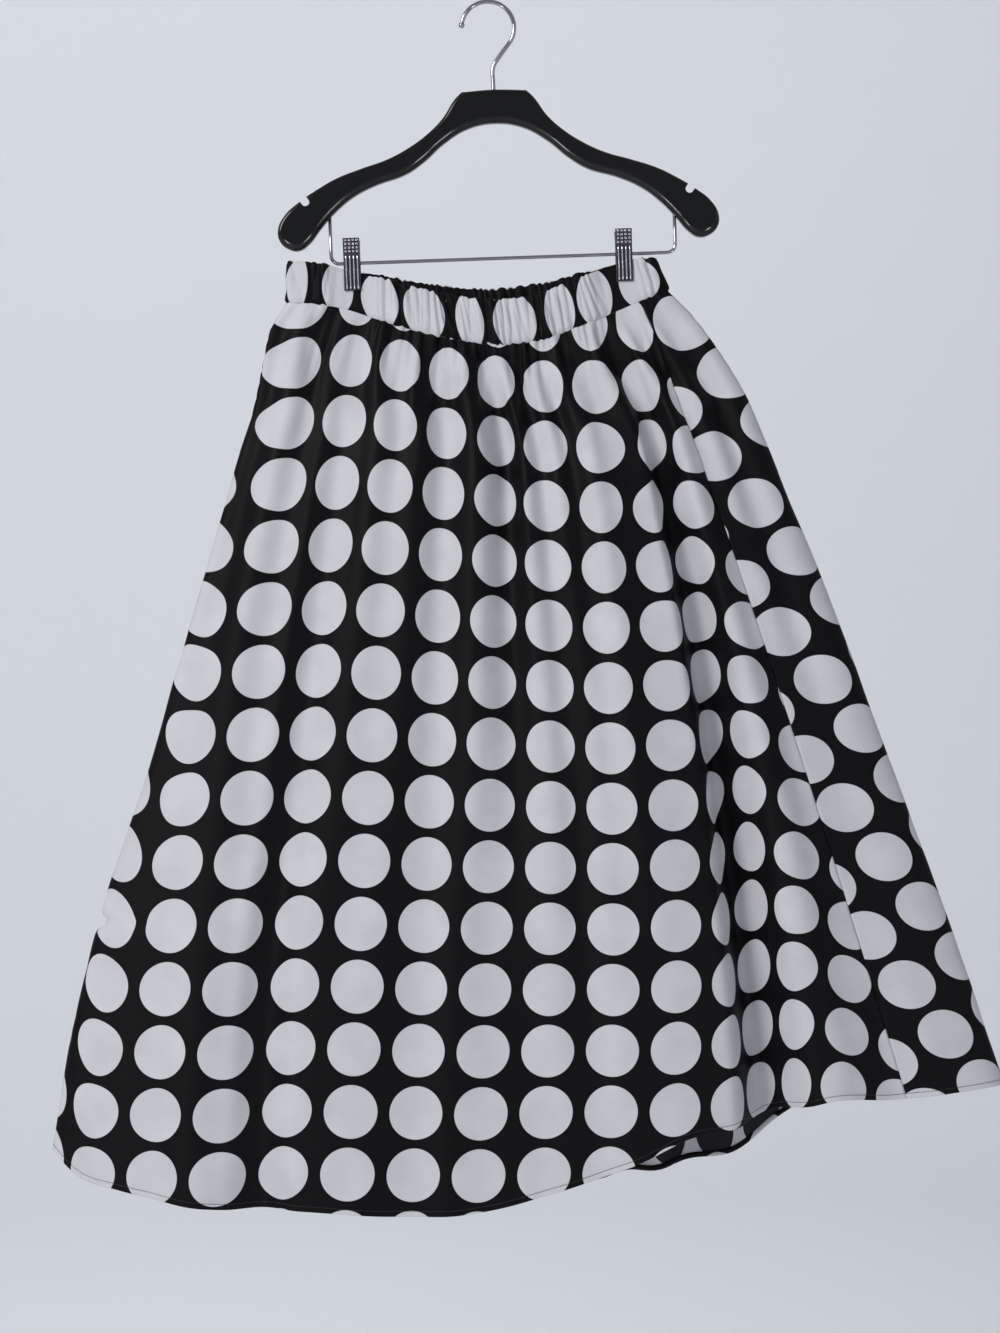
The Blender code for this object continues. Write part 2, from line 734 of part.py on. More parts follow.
def make_jaw(name, across, facing, metal, group, tilt):
    """One jaw of a clip: a bent plate, its gripping end down and its thumb end up."""
    inner = [(facing * jaw.away, jaw.up) for jaw in JAW_FACE]
    outer = [(facing * (jaw.away + JAW_THICKNESS), jaw.up) for jaw in reversed(JAW_FACE)]
    data = bpy.data.curves.new(name, "CURVE")
    data.dimensions = "2D"
    data.fill_mode = "BOTH"
    data.extrude = CLIP_WIDTH / 2 * MM
    data.materials.append(metal)
    spline = data.splines.new("POLY")
    spline.points.add(len(inner + outer) - 1)
    spline.use_cyclic_u = True
    for point, (away, up) in zip(spline.points, inner + outer):
        point.co = (away * MM, up * MM, 0, 1)
    jaw = bpy.data.objects.new(name, data)
    jaw.location = (across * MM, 0, BAR_HEIGHT * MM)
    jaw.rotation_euler = (math.pi / 2, 0, math.pi / 2)
    jaw.parent = tilt
    group.objects.link(jaw)
    return jaw


def make_barrel(name, across, metal, group, tilt):
    """The spring barrel that the bar runs through, a profile turned about the bar."""
    half = BARREL_LENGTH / 2 * MM
    outer, bore = BARREL_RADIUS * MM, BARREL_BORE * MM
    profile = [(outer, 0, half), (outer, 0, -half), (bore, 0, -half), (bore, 0, half)]
    data = bpy.data.meshes.new(name)
    data.from_pydata(profile, [(0, 1), (1, 2), (2, 3), (3, 0)], [])
    data.materials.append(metal)
    barrel = bpy.data.objects.new(name, data)
    turned = barrel.modifiers.new("turned", "SCREW")
    turned.steps = BARREL_STEPS
    turned.render_steps = BARREL_STEPS
    turned.use_merge_vertices = True
    turned.merge_threshold = 0.01 * MM
    barrel.location = (across * MM, 0, BAR_HEIGHT * MM)
    barrel.rotation_euler = (0, math.pi / 2, 0)
    barrel.parent = tilt
    group.objects.link(barrel)
    return barrel


def main():
    clear_scene()
    group = collection_named("clip_hung_skirt")
    cutters = collection_named("cutters")
    cutters.hide_render = True
    cloth = material("dotted_cloth", (0.012, 0.012, 0.014), 0.55)
    casing = material("gathered_cloth", (0.012, 0.012, 0.014), 0.6)
    wood = material("black_lacquered_wood", (0.004, 0.004, 0.005), 0.18)
    chrome = material("chrome", (0.75, 0.75, 0.77), 0.12, 1.0)

    hung = [loop_row(down) for down in np.linspace(0, 1, HUNG_ROWS)]
    make_panel("skirt_front", 0.0, FRONT_CUT, hung, cloth, group)
    make_panel("skirt_back", PANEL_ANGLE, None, hung, cloth, group)
    make_band("waistband", casing, group)

    tilt = bpy.data.objects.new("hanger_tilt", None)
    tilt.rotation_euler = (0, HANGER_TILT, 0)
    group.objects.link(tilt)
    make_hanger_body(wood, group, cutters, tilt)
    make_wire("hanger_hook", hook_path(), HOOK_WIRE, chrome, group, tilt)
    make_wire("clip_bar", bar_path(), BAR_WIRE, chrome, group, tilt)
    for place, across in CLIP_PLACES.items():
        make_jaw(f"clip_{place}_front_jaw", across, -1, chrome, group, tilt)
        make_jaw(f"clip_{place}_back_jaw", across, 1, chrome, group, tilt)
        make_barrel(f"clip_{place}_barrel", across, chrome, group, tilt)


main()
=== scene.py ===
"""A gathered A-line midi skirt printed with large dots, clipped to a black lacquered hanger.

Metres, +Z up. The skirt's front faces -Y, and the origin is inside the crown of the hanger's hook.
The cloth and the hanger are worked out in millimetres, as they are cut and sewn, and made metres at the end.
"""

import math
from collections import namedtuple
from contextlib import contextmanager

import bmesh
import bpy
import numpy as np
from bpy.props import FloatProperty, FloatVectorProperty, PointerProperty
from mathutils import Matrix, Vector


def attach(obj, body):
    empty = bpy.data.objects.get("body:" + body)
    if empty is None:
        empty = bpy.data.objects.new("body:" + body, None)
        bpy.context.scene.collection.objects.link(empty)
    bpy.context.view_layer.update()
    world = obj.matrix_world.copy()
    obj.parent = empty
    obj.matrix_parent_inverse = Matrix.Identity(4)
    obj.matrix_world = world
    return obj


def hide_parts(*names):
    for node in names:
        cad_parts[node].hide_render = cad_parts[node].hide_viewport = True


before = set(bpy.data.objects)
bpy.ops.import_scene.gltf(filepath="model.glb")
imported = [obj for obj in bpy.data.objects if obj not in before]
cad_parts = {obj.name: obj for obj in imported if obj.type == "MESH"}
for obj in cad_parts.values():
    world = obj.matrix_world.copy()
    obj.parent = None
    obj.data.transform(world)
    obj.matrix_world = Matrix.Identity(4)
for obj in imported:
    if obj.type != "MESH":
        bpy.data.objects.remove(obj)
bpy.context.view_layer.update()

bl_info = {
    "name": "Dotted skirt on a clip hanger",
    "version": (1, 0, 0),
    "blender": (4, 5, 0),
    "location": "3D View > Sidebar > Skirt",
    "description": "Makes a gathered, dotted midi skirt that hangs from the clips of a lacquered hanger",
    "category": "Object",
}

MM = 0.001
THREAD_SPACING = 0.00042
DOT_EDGE = 0.00025

# The cut: each panel is a sector of a ring, and the two together make a shallow cone
PANEL_ANGLE = 42.2
WAIST_RADIUS = 719.0
PANEL_LENGTH = 828.0
CONE_ANGLE = 2 * PANEL_ANGLE
HALF_PANEL = PANEL_ANGLE / 2
HEM_RADIUS = WAIST_RADIUS + PANEL_LENGTH
BAND_LENGTH = WAIST_RADIUS * math.radians(CONE_ANGLE)
BAND_STRIP = 80.0

# The print: where the first row of dots has its centres, below each panel's waist edge and up the band
FIRST_ROW_FRONT = 34.0
FIRST_ROW_BACK = 47.0
BAND_ROW = 19.0
BACK_TOP_RISE = 5.5
INNER_PRINT_SHIFT = 3.6

# Gathers: one wave of the elastic waist has two columns of the cloth, a crest and a hollow
GATHERS = 72
COLUMN_ANGLE = CONE_ANGLE / (2 * GATHERS)
GATHER_REACH = 0.10
CLIP_FLATTENING = 0.9
CLIPPED_AT = (0.171, 0.884)
CLIPPED_REACH = 0.034
CLIPPED_FADE = 0.055
CLIPPED_BOW = 2.9
GATHER_PINCH_FADES = 0.06
GATHER_EDGE_POWER = 0.25
STIFF_COLUMNS = 1.6
BAND_TOP_EDGES = (-187.0, 160.0)
BAND_FLATTENING = 0.93

# Shares of the way down at which the depth is full, the clips' pinch is gone and the folds hang free
DEPTH_SETTLES = 0.2
PINCH_FADES = 0.12
FOLDS_FREE = 0.6
FOLD_EDGE_POWER = 0.7
FOLD_STATIONS = (0.0, 0.12, 0.5, 1.0)
STRONGEST = 3.0
FITTING_STEPS = 22

# The sewn cloth's mesh: rows and columns of one panel, and rows of the whole skirt that they are read from
HUNG_ROWS = 150
PANEL_COLUMNS = 232
PANEL_ROWS = 176
BAND_COLUMNS = 1090
SEAM_STEPS = (0.0, 0.8, 1.8, 3.2, 5.0)
TOP_STEPS = (0.0, 0.8, 2.0)
HEM_STEPS = (0.0, 0.5, 2.0, 3.6, 4.6, 5.4, 6.4, 8.4)
STITCH_STEPS = (4.6, 5.4)
SLIDE_STEPS = 401

# The sewn edges: cloth that goes up under the band, and shares of the hem's turn at which its rows lie
SEAM_ALLOWANCE = 2.2
SEAM_INSET = 0.9
HEM_FOLD_SHARE = 0.05
HEM_TURN_SHARES = (0.06, 0.45, 1.0)
HEM_FOLD_DEPTH = 0.65
HEM_FOLD_DROP = 0.25
HEM_TURN_DEPTH = 1.3

# The cloth's soft unevenness, the puckers at its side seams and the waves and stitches of its hem
UNEVEN_HEIGHT = 0.55
UNEVEN_TURNS = 22
UNEVEN_SCALE = 34.0
UNEVEN_STARTS = 90
PUCKER_HEIGHT = 0.55
PUCKER_REACH = 7.0
SEAM_DIP = 1.1
SEAM_DIP_WIDTH = 1.1
STITCH_DIP = 0.30
STITCH_WIDTH = 0.8
HEM_WAVE = 0.5
HEM_WAVE_REACH = 16.0

# Places across the hanging skirt, 0 at its left edge and 1 at its right edge, closer together at the edges
ACROSS = (1 - np.cos(math.pi * np.linspace(0, 1, 700))) / 2

Outline = namedtuple("Outline", "down left right")
Turn = namedtuple("Turn", "down left right")
Cut = namedtuple("Cut", "angle short")
Waist = namedtuple("Waist", "across seam top bow")
Hem = namedtuple("Hem", "across z")
Depth = namedtuple("Depth", "down front back front_flute back_flute")
Fold = namedtuple("Fold", "at_waist at_hem wide out_waist out_upper out_middle out_hem")
Lean = namedtuple("Lean", "down sideways")
Clear = namedtuple("Clear", "down least soft")
Wave = namedtuple("Wave", "height count start")
Side = namedtuple("Side", "sign waist hem depth folds flutes shift")
BandDot = namedtuple("BandDot", "place wide")
Ruck = namedtuple("Ruck", "waves height reach sway sway_waves start")
WoodEdge = namedtuple("WoodEdge", "out z corner", defaults=(False,))
Jaw = namedtuple("Jaw", "up away flange")


def rows_of(kind, *rows):
    """A table of named values, from its plain rows."""
    return tuple(kind(*row) for row in rows)


# Left and right edges of the hanging skirt, seen from the front
OUTLINE = rows_of(
    Outline,
    (0.00, -190, 172), (0.03, -205, 194), (0.07, -213, 217), (0.13, -223, 245), (0.19, -238, 265),
    (0.26, -254, 286), (0.35, -275, 314), (0.45, -298, 343), (0.55, -321, 371), (0.68, -357, 407),
    (0.80, -383, 440), (0.90, -400, 466), (1.00, -412, 491),
)

# Part of the cone that hangs in front, in degrees from the front panel's middle
TURNS = rows_of(
    Turn,
    (0.00, -16.2, 23.8), (0.06, -15.6, 24.4), (0.13, -14.9, 25.2), (0.26, -14.6, 25.3),
    (0.50, -14.2, 25.0), (0.70, -14.3, 25.0), (0.90, -13.8, 24.8), (1.00, -13.7, 24.7),
)

# How much shorter the front panel is than the full sector, by the angle from its middle
FRONT_CUT = rows_of(
    Cut,
    (-21.1, 0), (-5.0, 0), (-1.0, 0), (2.0, 2), (4.8, 14), (7.6, 30), (10.0, 46), (12.2, 38),
    (14.5, 26), (16.8, 9), (19.0, 1), (21.1, 0),
)

# The waistband: heights of its seam and its top edge, and how far it bows out between the clips
FRONT_WAIST = rows_of(
    Waist,
    (0.00, -284, -245, 12), (0.09, -286, -248, 10.5), (0.17, -292, -255, 9), (0.25, -302, -262, 11),
    (0.33, -311, -270, 13), (0.42, -319, -277.5, 15), (0.55, -325, -283.5, 17),
    (0.65, -322, -280, 15.5), (0.77, -307, -265, 12), (0.88, -290, -249, 9), (0.95, -279, -243, 9),
    (1.00, -272, -242, 10),
)
BACK_WAIST = rows_of(
    Waist,
    (0.00, -284, -245, 12), (0.09, -286, -248, 10.5), (0.17, -292, -255, 9), (0.25, -300, -260, 9),
    (0.35, -309, -268, 10), (0.52, -317, -275, 12), (0.66, -312, -270, 10.5), (0.77, -302, -260, 9),
    (0.88, -290, -249, 9), (0.95, -279, -243, 9), (1.00, -272, -242, 10),
)

# The hem's height across the skirt
FRONT_HEM = rows_of(
    Hem,
    (0.00, -1087), (0.03, -1111), (0.07, -1121), (0.12, -1130), (0.18, -1137), (0.25, -1137),
    (0.36, -1142), (0.45, -1141), (0.52, -1135), (0.59, -1127), (0.66, -1116), (0.71, -1099),
    (0.755, -1076), (0.80, -1043), (0.89, -1036), (1.00, -1025),
)
BACK_HEM = rows_of(
    Hem,
    (0.00, -1087), (0.06, -1101), (0.15, -1113), (0.30, -1126), (0.45, -1131), (0.57, -1127),
    (0.65, -1115), (0.72, -1099), (0.76, -1072), (0.82, -1050), (0.90, -1042), (1.00, -1025),
)

# How far front and back stand out from the middle plane, and the height of soft flutes between the folds
DEPTHS = rows_of(
    Depth,
    (0.00, 14, 11, 0.0, 0.0), (0.05, 22, 20, 3.0, 5.0), (0.10, 29, 31, 5.0, 8.5),
    (0.25, 38, 47, 4.0, 12.0), (0.50, 46, 59, 2.6, 15.0), (0.75, 51, 67, 1.6, 18.0),
    (1.00, 55, 73, 1.2, 20.0),
)

# Large folds: where they run, their half width as a share of the skirt's width, and how far they stand out
FRONT_FOLDS = rows_of(
    Fold,
    (0.055, 0.145, 0.048, 0, 3, 9, 16), (0.172, 0.222, 0.040, 0, -9, -13, -21),
    (0.270, 0.300, 0.060, 0, 5, 4, 4), (0.390, 0.383, 0.038, 0, -5, -3, -2),
    (0.450, 0.418, 0.035, 0, 4, 3, 2), (0.520, 0.455, 0.045, 0, -9, -6, -3),
    (0.700, 0.640, 0.085, 0, 9, 10, 8), (0.806, 0.752, 0.050, 0, -14, -39, -63),
    (0.868, 0.815, 0.046, 0, 6, 12, 18), (0.940, 0.895, 0.042, 0, -5, -9, -12),
)
BACK_FOLDS = rows_of(
    Fold,
    (0.12, 0.110, 0.070, 0, -4, -7, -9), (0.30, 0.280, 0.070, 0, 4, 7, 9),
    (0.52, 0.500, 0.080, 0, -4, -8, -10), (0.72, 0.740, 0.070, 0, 3, 6, 8),
    (0.88, 0.900, 0.060, 0, -3, -6, -8),
)

# How far the front's deepest fold leans to the right, and where its ridge is, at the waist and at the hem
LEANING = rows_of(
    Lean,
    (0.00, 0), (0.10, 9), (0.30, 13), (0.50, 15), (0.75, 16), (1.00, 9),
)
LEANING_RIDGE = (0.755, 0.706)
LEANING_WIDTH = 0.050

# How the print hangs across the front: its columns, the middle one and the right seam at the waist and at
# the hem, how much of the spacing the gathers take up at the waist, and how fast it spreads below
PRINTED_COLUMNS = (-5, 4)
PRINTED_SPACING = 61.0
PRINTED_MIDDLE = (-35.0, -70.0)
PRINTED_SEAM = (145.0, 395.0)
SEAM_BOW = 0.9
PRINT_GATHERED = 0.28
PRINT_SPREADS = 1.8
PRINTED_EDGE = 2.4
SLIDE_SMOOTHING = 0.009

# The nick in the skirt's left edge: its height, how tall and how wide it is, and how far it goes in
NICK_HEIGHT = -871.0
NICK_TALL = 5.5
NICK_WIDE = 17.0
NICK_DEEP = 9.0

# How near a hollow of one side may come to the middle plane, and how softly it stops there
APART = rows_of(
    Clear,
    (0.00, 1.5, 0.30), (0.03, 4.5, 1.32), (0.05, 4.5, 2.00), (0.35, 4.5, 2.00), (0.70, -40.0, 2.00),
)
LEAST_SOFT = 0.01

# How unevenly the soft flutes are spaced and how unevenly high they are, in waves across the skirt
SPACING_SWAY = Wave(0.30, 1.3, 0.0)
SPACING_RIPPLE = Wave(0.16, 3.1, 1.0)
HEIGHT_SWAY = Wave(0.35, 2.3, 0.7)

FRONT = Side(-1, FRONT_WAIST, FRONT_HEM, "front", FRONT_FOLDS, 12.0, 0.4)
BACK = Side(1, BACK_WAIST, BACK_HEM, "back", BACK_FOLDS, 11.0, 2.1)

# Gathers below the band, in waves round the whole waist: their share of the full height, how far down the
# cloth they die out, and how their spacing sways
SKIRT_GATHERS = rows_of(
    Ruck,
    (72, 1.05, 78, 1.4, 9, 0.3), (47, 0.85, 135, 1.5, 7, 1.9), (121, 0.55, 34, 1.8, 13, 4.1),
)

# Rucks of the elastic casing, in the same terms, with heights in millimetres and no fading
BAND_RUCKS = rows_of(
    Ruck,
    (84, 1.45, 0, 1.9, 11, 0.9), (57, 0.90, 0, 1.5, 7, 2.6), (137, 0.50, 0, 2.1, 17, 5.0),
)
RUCK_SLANT = 1.3
SLANT_SWAYS = (2.6, 5, 1.0)
SWAY_RIPPLE = (0.5, 2.37, 1.7)
RUCK_FLOOR = -1.5
RUCK_SOFT = 0.3

# Middles and widths of the dots across the front of the gathered band
BAND_DOTS = rows_of(
    BandDot,
    (-181, 34), (-147, 40), (-101, 37), (-58, 40), (-14, 27), (29, 41), (72, 28), (106, 33), (149, 37),
)
MIDDLE_DOT = 4

# The hanger, in its own upright frame, which hangs a little down at the left
HANGER_TILT = math.radians(-2.0)
HOOK_RADIUS = 25.0
WOOD_MIDDLE = 3.6
STEM_FOOT = -93.0
BAR_HEIGHT = -242.0
BAR_MIDDLE = 7.3
BAR_HALF_LENGTH = 163.5
BAR_CORNER = 8.0
BAR_TOP = -186.0
NOTCH_WIDTH = 7.6
NOTCH_ROUNDING = 0.48
NOTCH_PAST_WOOD = 8.0
NOTCH_END = (180.0, -186.5)
NOTCH_SLANT = math.radians(35.5)
NOTCH_REACH = 14.0
BACK_ROUNDING = 3.6
FRONT_ROUNDING = 6.2
BROADER_BELOW = 6.2
HOOK_NECK = (
    (WOOD_MIDDLE, STEM_FOOT),
    (3.2, -72.0),
    (3.0, -66.5),
    (3.4, -62.2),
    (5.1, -57.6),
    (8.5, -52.6),
    (13.2, -46.3),
)
HOOK_START = -42
HOOK_END = 172
TIP_SIZE = 0.72

# The wooden hanger's middle, and upper and lower edge of one arm, outwards from there
TOP_MIDDLE = WoodEdge(0, -82)
UNDER_MIDDLE = WoodEdge(0, -114)
ARM_TOP = rows_of(
    WoodEdge,
    (31, -83.5, True), (38, -90.5), (50, -108), (64, -121.5), (82, -134), (103, -144.5), (128, -152.5),
    (152, -161), (170, -170.5), (188, -182), (203, -195), (209.5, -208), (208, -219), (200, -226.5),
    (190, -228.5), (180, -222.5),
)
ARM_UNDER = rows_of(
    WoodEdge,
    (168, -208), (154, -193), (136, -179), (115, -169), (86, -159.5), (68, -148), (50, -132.5),
    (26, -118.5),
)

# The clips: heights from the bar, how far out the plate's inner face is and how deep its side flanges are
CLIP_PLACES = {"left": -136.6, "right": 121.6}
CLIP_WIDTH = 15.8
JAW_THICKNESS = 1.0
PLATE_SHARE = 0.45
STUD_ROWS = 4
STUD_COLUMNS = 4
STUD_PITCH = 3.6
STUD_RISE = 3.5
LOWEST_STUD = 10.4
RIB_ENDS = (-25.2, 7.0)
THUMB_STEP = 0.45
THUMB_STARTS = 7.6
SPRING_TURNS = 6
SPRING_LENGTH = 9.6
SPRING_RADIUS = 3.55
SPRING_WIRE = 1.3
JAW_FACE = rows_of(
    Jaw,
    (-26.5, 4.8, 0.6), (-14.0, 5.2, 0.8), (-4.0, 5.1, 1.0), (3.0, 5.3, 3.6), (12.0, 6.6, 4.6),
    (20.0, 8.3, 3.0), (22.8, 9.0, 1.0),
)


def length(name, description, default):
    return FloatProperty(name=name, description=description, default=default, unit="LENGTH")


def colour(name, description, default):
    return FloatVectorProperty(name=name, description=description, default=default, subtype="COLOR")


def power(name, description, default):
    return FloatProperty(name=name, description=description, default=default, unit="POWER")


class ClothSettings(bpy.types.PropertyGroup):
    """Sizes and colours of the printed cloth"""

    dot_diameter: length("Dot diameter", "Width of one printed dot", 0.0498)
    dot_across: length("Dot spacing across", "Between two columns of dots", 0.061)
    dot_down: length("Dot spacing down", "Between two rows of dots", 0.0581)
    cloth_thickness: length("Cloth thickness", "Thickness of one layer", 0.00045)
    hem_turn: length("Hem turn", "Depth of the turned hem", 0.0057)
    hem_stitch: length("Hem stitch height", "From the hem's edge to its stitching", 0.005)
    ground: colour("Ground", "Colour between the dots", (0.0026, 0.0026, 0.0034))
    dots: colour("Dots", "Colour of the dots", (0.575, 0.58, 0.61))
    reverse_ground: colour("Reverse ground", "Reverse side between the dots", (0.58, 0.58, 0.62))
    reverse_dots: colour("Reverse dots", "Reverse side of a dot", (0.022, 0.022, 0.026))


class HangerSettings(bpy.types.PropertyGroup):
    """Sizes and finishes of the hanger"""

    wood_depth: length("Wood depth", "Front to back of the wood", 0.015)
    hook_wire: length("Hook wire", "Diameter of the hook's wire", 0.0042)
    bar_wire: length("Bar wire", "Diameter of the clip bar's wire", 0.0034)
    lacquer: colour("Lacquer", "Colour under the gloss", (0.0015, 0.0015, 0.0018))
    # The clips are one chrome: their plates are coloured dark between the studs and ribs as painted shade,
    # and the studs and ribs pale as painted highlight
    painted_shade_plate: colour("Recess", "Colour of the clips' plates between studs and ribs", (0.10, 0.098, 0.112))
    painted_highlight_studs: colour("Stamped", "Colour of the clips' studs and ribs", (0.80, 0.79, 0.83))
    chrome: colour("Chrome", "Colour of the plated metal", (0.46, 0.46, 0.48))


class StageSettings(bpy.types.PropertyGroup):
    """Floor, lights and camera"""

    floor_colour: colour("Floor", "Colour of the floor and its curved rim", (0.72, 0.735, 0.765))
    floor_height: length("Floor height", "Height of the floor", -2.0)
    camera_distance: length("Camera distance", "From the camera to the hanger", 2.7)
    key_power: power("Key light", "Power of the main light", 104.0)
    fill_power: power("Fill light", "Power of the fill light", 8.0)
    edge_power: power("Edge light", "Power of each low light on the lacquer", 6.5)
    wall_power: power("Wall light", "Power of the light on the rim", 150.0)


def through(table, name, at):
    """A smooth line through one named column of a table, read at the places in its first column."""
    known = np.array([row[0] for row in table], float)
    value = np.array([getattr(row, name) for row in table], float)
    slope = np.gradient(value, known)
    k = np.clip(np.searchsorted(known, at) - 1, 0, len(known) - 2)
    step = known[k + 1] - known[k]
    t = np.clip((at - known[k]) / step, 0, 1)
    start, end = value[k], value[k + 1]
    leave, arrive = slope[k] * step, slope[k + 1] * step
    return (
        start * (2 * t**3 - 3 * t**2 + 1)
        + leave * (t**3 - 2 * t**2 + t)
        + end * (3 * t**2 - 2 * t**3)
        + arrive * (t**3 - t**2)
    )


def straight(table, name, at):
    """A named column of a table, read along straight lines between its rows."""
    return np.interp(at, [row[0] for row in table], [getattr(row, name) for row in table])


def between(pair, share):
    return pair[0] + (pair[1] - pair[0]) * share


def eased(t):
    t = np.clip(t, 0, 1)
    return t * t * (3 - 2 * t)


def hem_share(cut, angle):
    """Where the cut edge lies down the cone's full length, for a column of the cloth."""
    return 1 - through(cut, "short", angle) / PANEL_LENGTH


def fold_heights(folds, across, down):
    """How far the large folds stand out across a row, each a soft ridge or trough."""
    total = np.zeros_like(across)
    for fold in folds:
        at = between((fold.at_waist, fold.at_hem), down)
        heights = (fold.out_waist, fold.out_upper, fold.out_middle, fold.out_hem)
        out = np.interp(down, FOLD_STATIONS, heights)
        near = np.clip(np.abs(across - at) / fold.wide, 0, 1)
        total += out * (1 + np.cos(math.pi * near)) / 2
    return total


def wave_across(wave, across, shift=0.0):
    return wave.height * np.sin(2 * math.pi * wave.count * across + wave.start + shift)


def flute_heights(across, count, shift):
    """Soft flutes that carry the gathers down the cloth, about 1 high and uneven in spacing and height."""
    phase = count * across + wave_across(SPACING_SWAY, across, shift) + wave_across(SPACING_RIPPLE, across)
    height = 1 + wave_across(HEIGHT_SWAY, across, shift)
    return height * np.sin(2 * math.pi * phase + shift)


def row_lengths(points):
    steps = np.linalg.norm(np.diff(points, axis=0), axis=1)
    return np.concatenate([[0], np.cumsum(steps)])


def near_clip(across):
    """1 at the two places that the clips pinch flat, 0 away from them."""
    away = np.min([np.abs(across - at) for at in CLIPPED_AT], axis=0)
    return 1 - eased((away - CLIPPED_REACH) / CLIPPED_FADE)


def kept_apart(out, rim, down):
    """Stops a hollow of one side short of the other side, in the upper part where the two hang close."""
    least = rim * straight(APART, "least", down)
    soft = LEAST_SOFT + rim * straight(APART, "soft", down)
    return least + soft * np.logaddexp(0, (out - least) / soft)


def side_curve(side, down, strength):
    """One side of a row, from the skirt's left edge to its right edge, without its gathers."""
    left = through(OUTLINE, "left", down)
    right = through(OUTLINE, "right", down)
    seam = through(side.waist, "seam", ACROSS)
    hem = through(side.hem, "z", ACROSS)
    rim = np.sqrt(np.clip(1 - (2 * ACROSS - 1) ** 2, 0, 1))
    pinched = through(side.waist, "bow", ACROSS)
    full = through(DEPTHS, side.depth, down)
    bulge = rim * (pinched + (full - pinched) * eased(down / DEPTH_SETTLES))
    bulge += (CLIPPED_BOW - bulge) * near_clip(ACROSS) * (1 - eased(down / PINCH_FADES))
    folds = fold_heights(side.folds, ACROSS, down) * (1 + (strength - 1) * eased(down / FOLDS_FREE))
    flute = through(DEPTHS, f"{side.depth}_flute", down) * strength
    flutes = flute * flute_heights(ACROSS, side.flutes, side.shift)
    out = kept_apart(bulge + (folds + flutes) * rim**FOLD_EDGE_POWER, rim, down)
    sideways = left + (right - left) * ACROSS
    if side is FRONT:
        near = np.clip(np.abs(ACROSS - between(LEANING_RIDGE, down)) / LEANING_WIDTH, 0, 1)
        sideways += through(LEANING, "sideways", down) * (1 + np.cos(math.pi * near)) / 2
    return np.stack([sideways, side.sign * out, seam + (hem - seam) * down], axis=1)


def fitted_side(side, down, cloth_length):
    """A side's curve whose folds are as deep as the cloth in the row is long."""
    low, high = 0.0, STRONGEST
    for _ in range(FITTING_STEPS):
        middle = (low + high) / 2
        if row_lengths(side_curve(side, down, middle))[-1] < cloth_length:
            low = middle
        else:
            high = middle
    return side_curve(side, down, low)


def slid_print(curve, share, down, radius, edge_angles):
    """The cone's angle at each point of a front row, with its printed columns spread as they hang."""
    left_angle, right_angle = edge_angles
    place = left_angle + (right_angle - left_angle) * share
    from_left = np.maximum.accumulate(curve[:, 0])
    from_right = np.minimum.accumulate(curve[::-1, 0])[::-1]
    middle = between(PRINTED_MIDDLE, down)
    spacing = PRINTED_SPACING * (1 - PRINT_GATHERED * (1 - down) ** PRINT_SPREADS)
    seam = float(np.interp(between(PRINTED_SEAM, down**SEAM_BOW), from_right, share))
    sure = [(0.0, left_angle), (seam, HALF_PANEL), (1.0, right_angle)]
    soft = []
    for column in range(PRINTED_COLUMNS[0], PRINTED_COLUMNS[1] + 1):
        angle = math.degrees(math.asin(column * PRINTED_SPACING / radius))
        inside = min(angle - left_angle, HALF_PANEL - angle) / PRINTED_EDGE
        if inside > 0:
            spot = float(np.interp(middle + spacing * column, from_left, share))
            if inside >= 1:
                sure.append((spot, angle))
            else:
                soft.append((spot, angle, float(eased(inside))))
    sure.sort(key=lambda knot: knot[1])
    spots, angles = zip(*sure)
    for spot, angle, weight in soft:
        sure.append((between((float(np.interp(angle, angles, spots)), spot), weight), angle))
    sure.sort(key=lambda knot: knot[1])
    spots = np.maximum.accumulate([knot[0] for knot in sure])
    slid = np.interp(share, spots, [knot[1] for knot in sure]) - place
    even = np.linspace(0, 1, SLIDE_STEPS)
    smooth = np.exp(-(((even - 0.5) / SLIDE_SMOOTHING) ** 2))
    padded = np.pad(np.interp(even, share, slid), SLIDE_STEPS // 2)
    return place + np.interp(share, even, np.convolve(padded, smooth / smooth.sum(), "valid"))


def gather_height(side_length, cloth_length, angle):
    """Height of a zigzag that takes up cloth_length in side_length."""
    half_wave = side_length / (angle / COLUMN_ANGLE)
    return half_wave / 2 * math.sqrt(max((cloth_length / side_length) ** 2 - 1, 0))


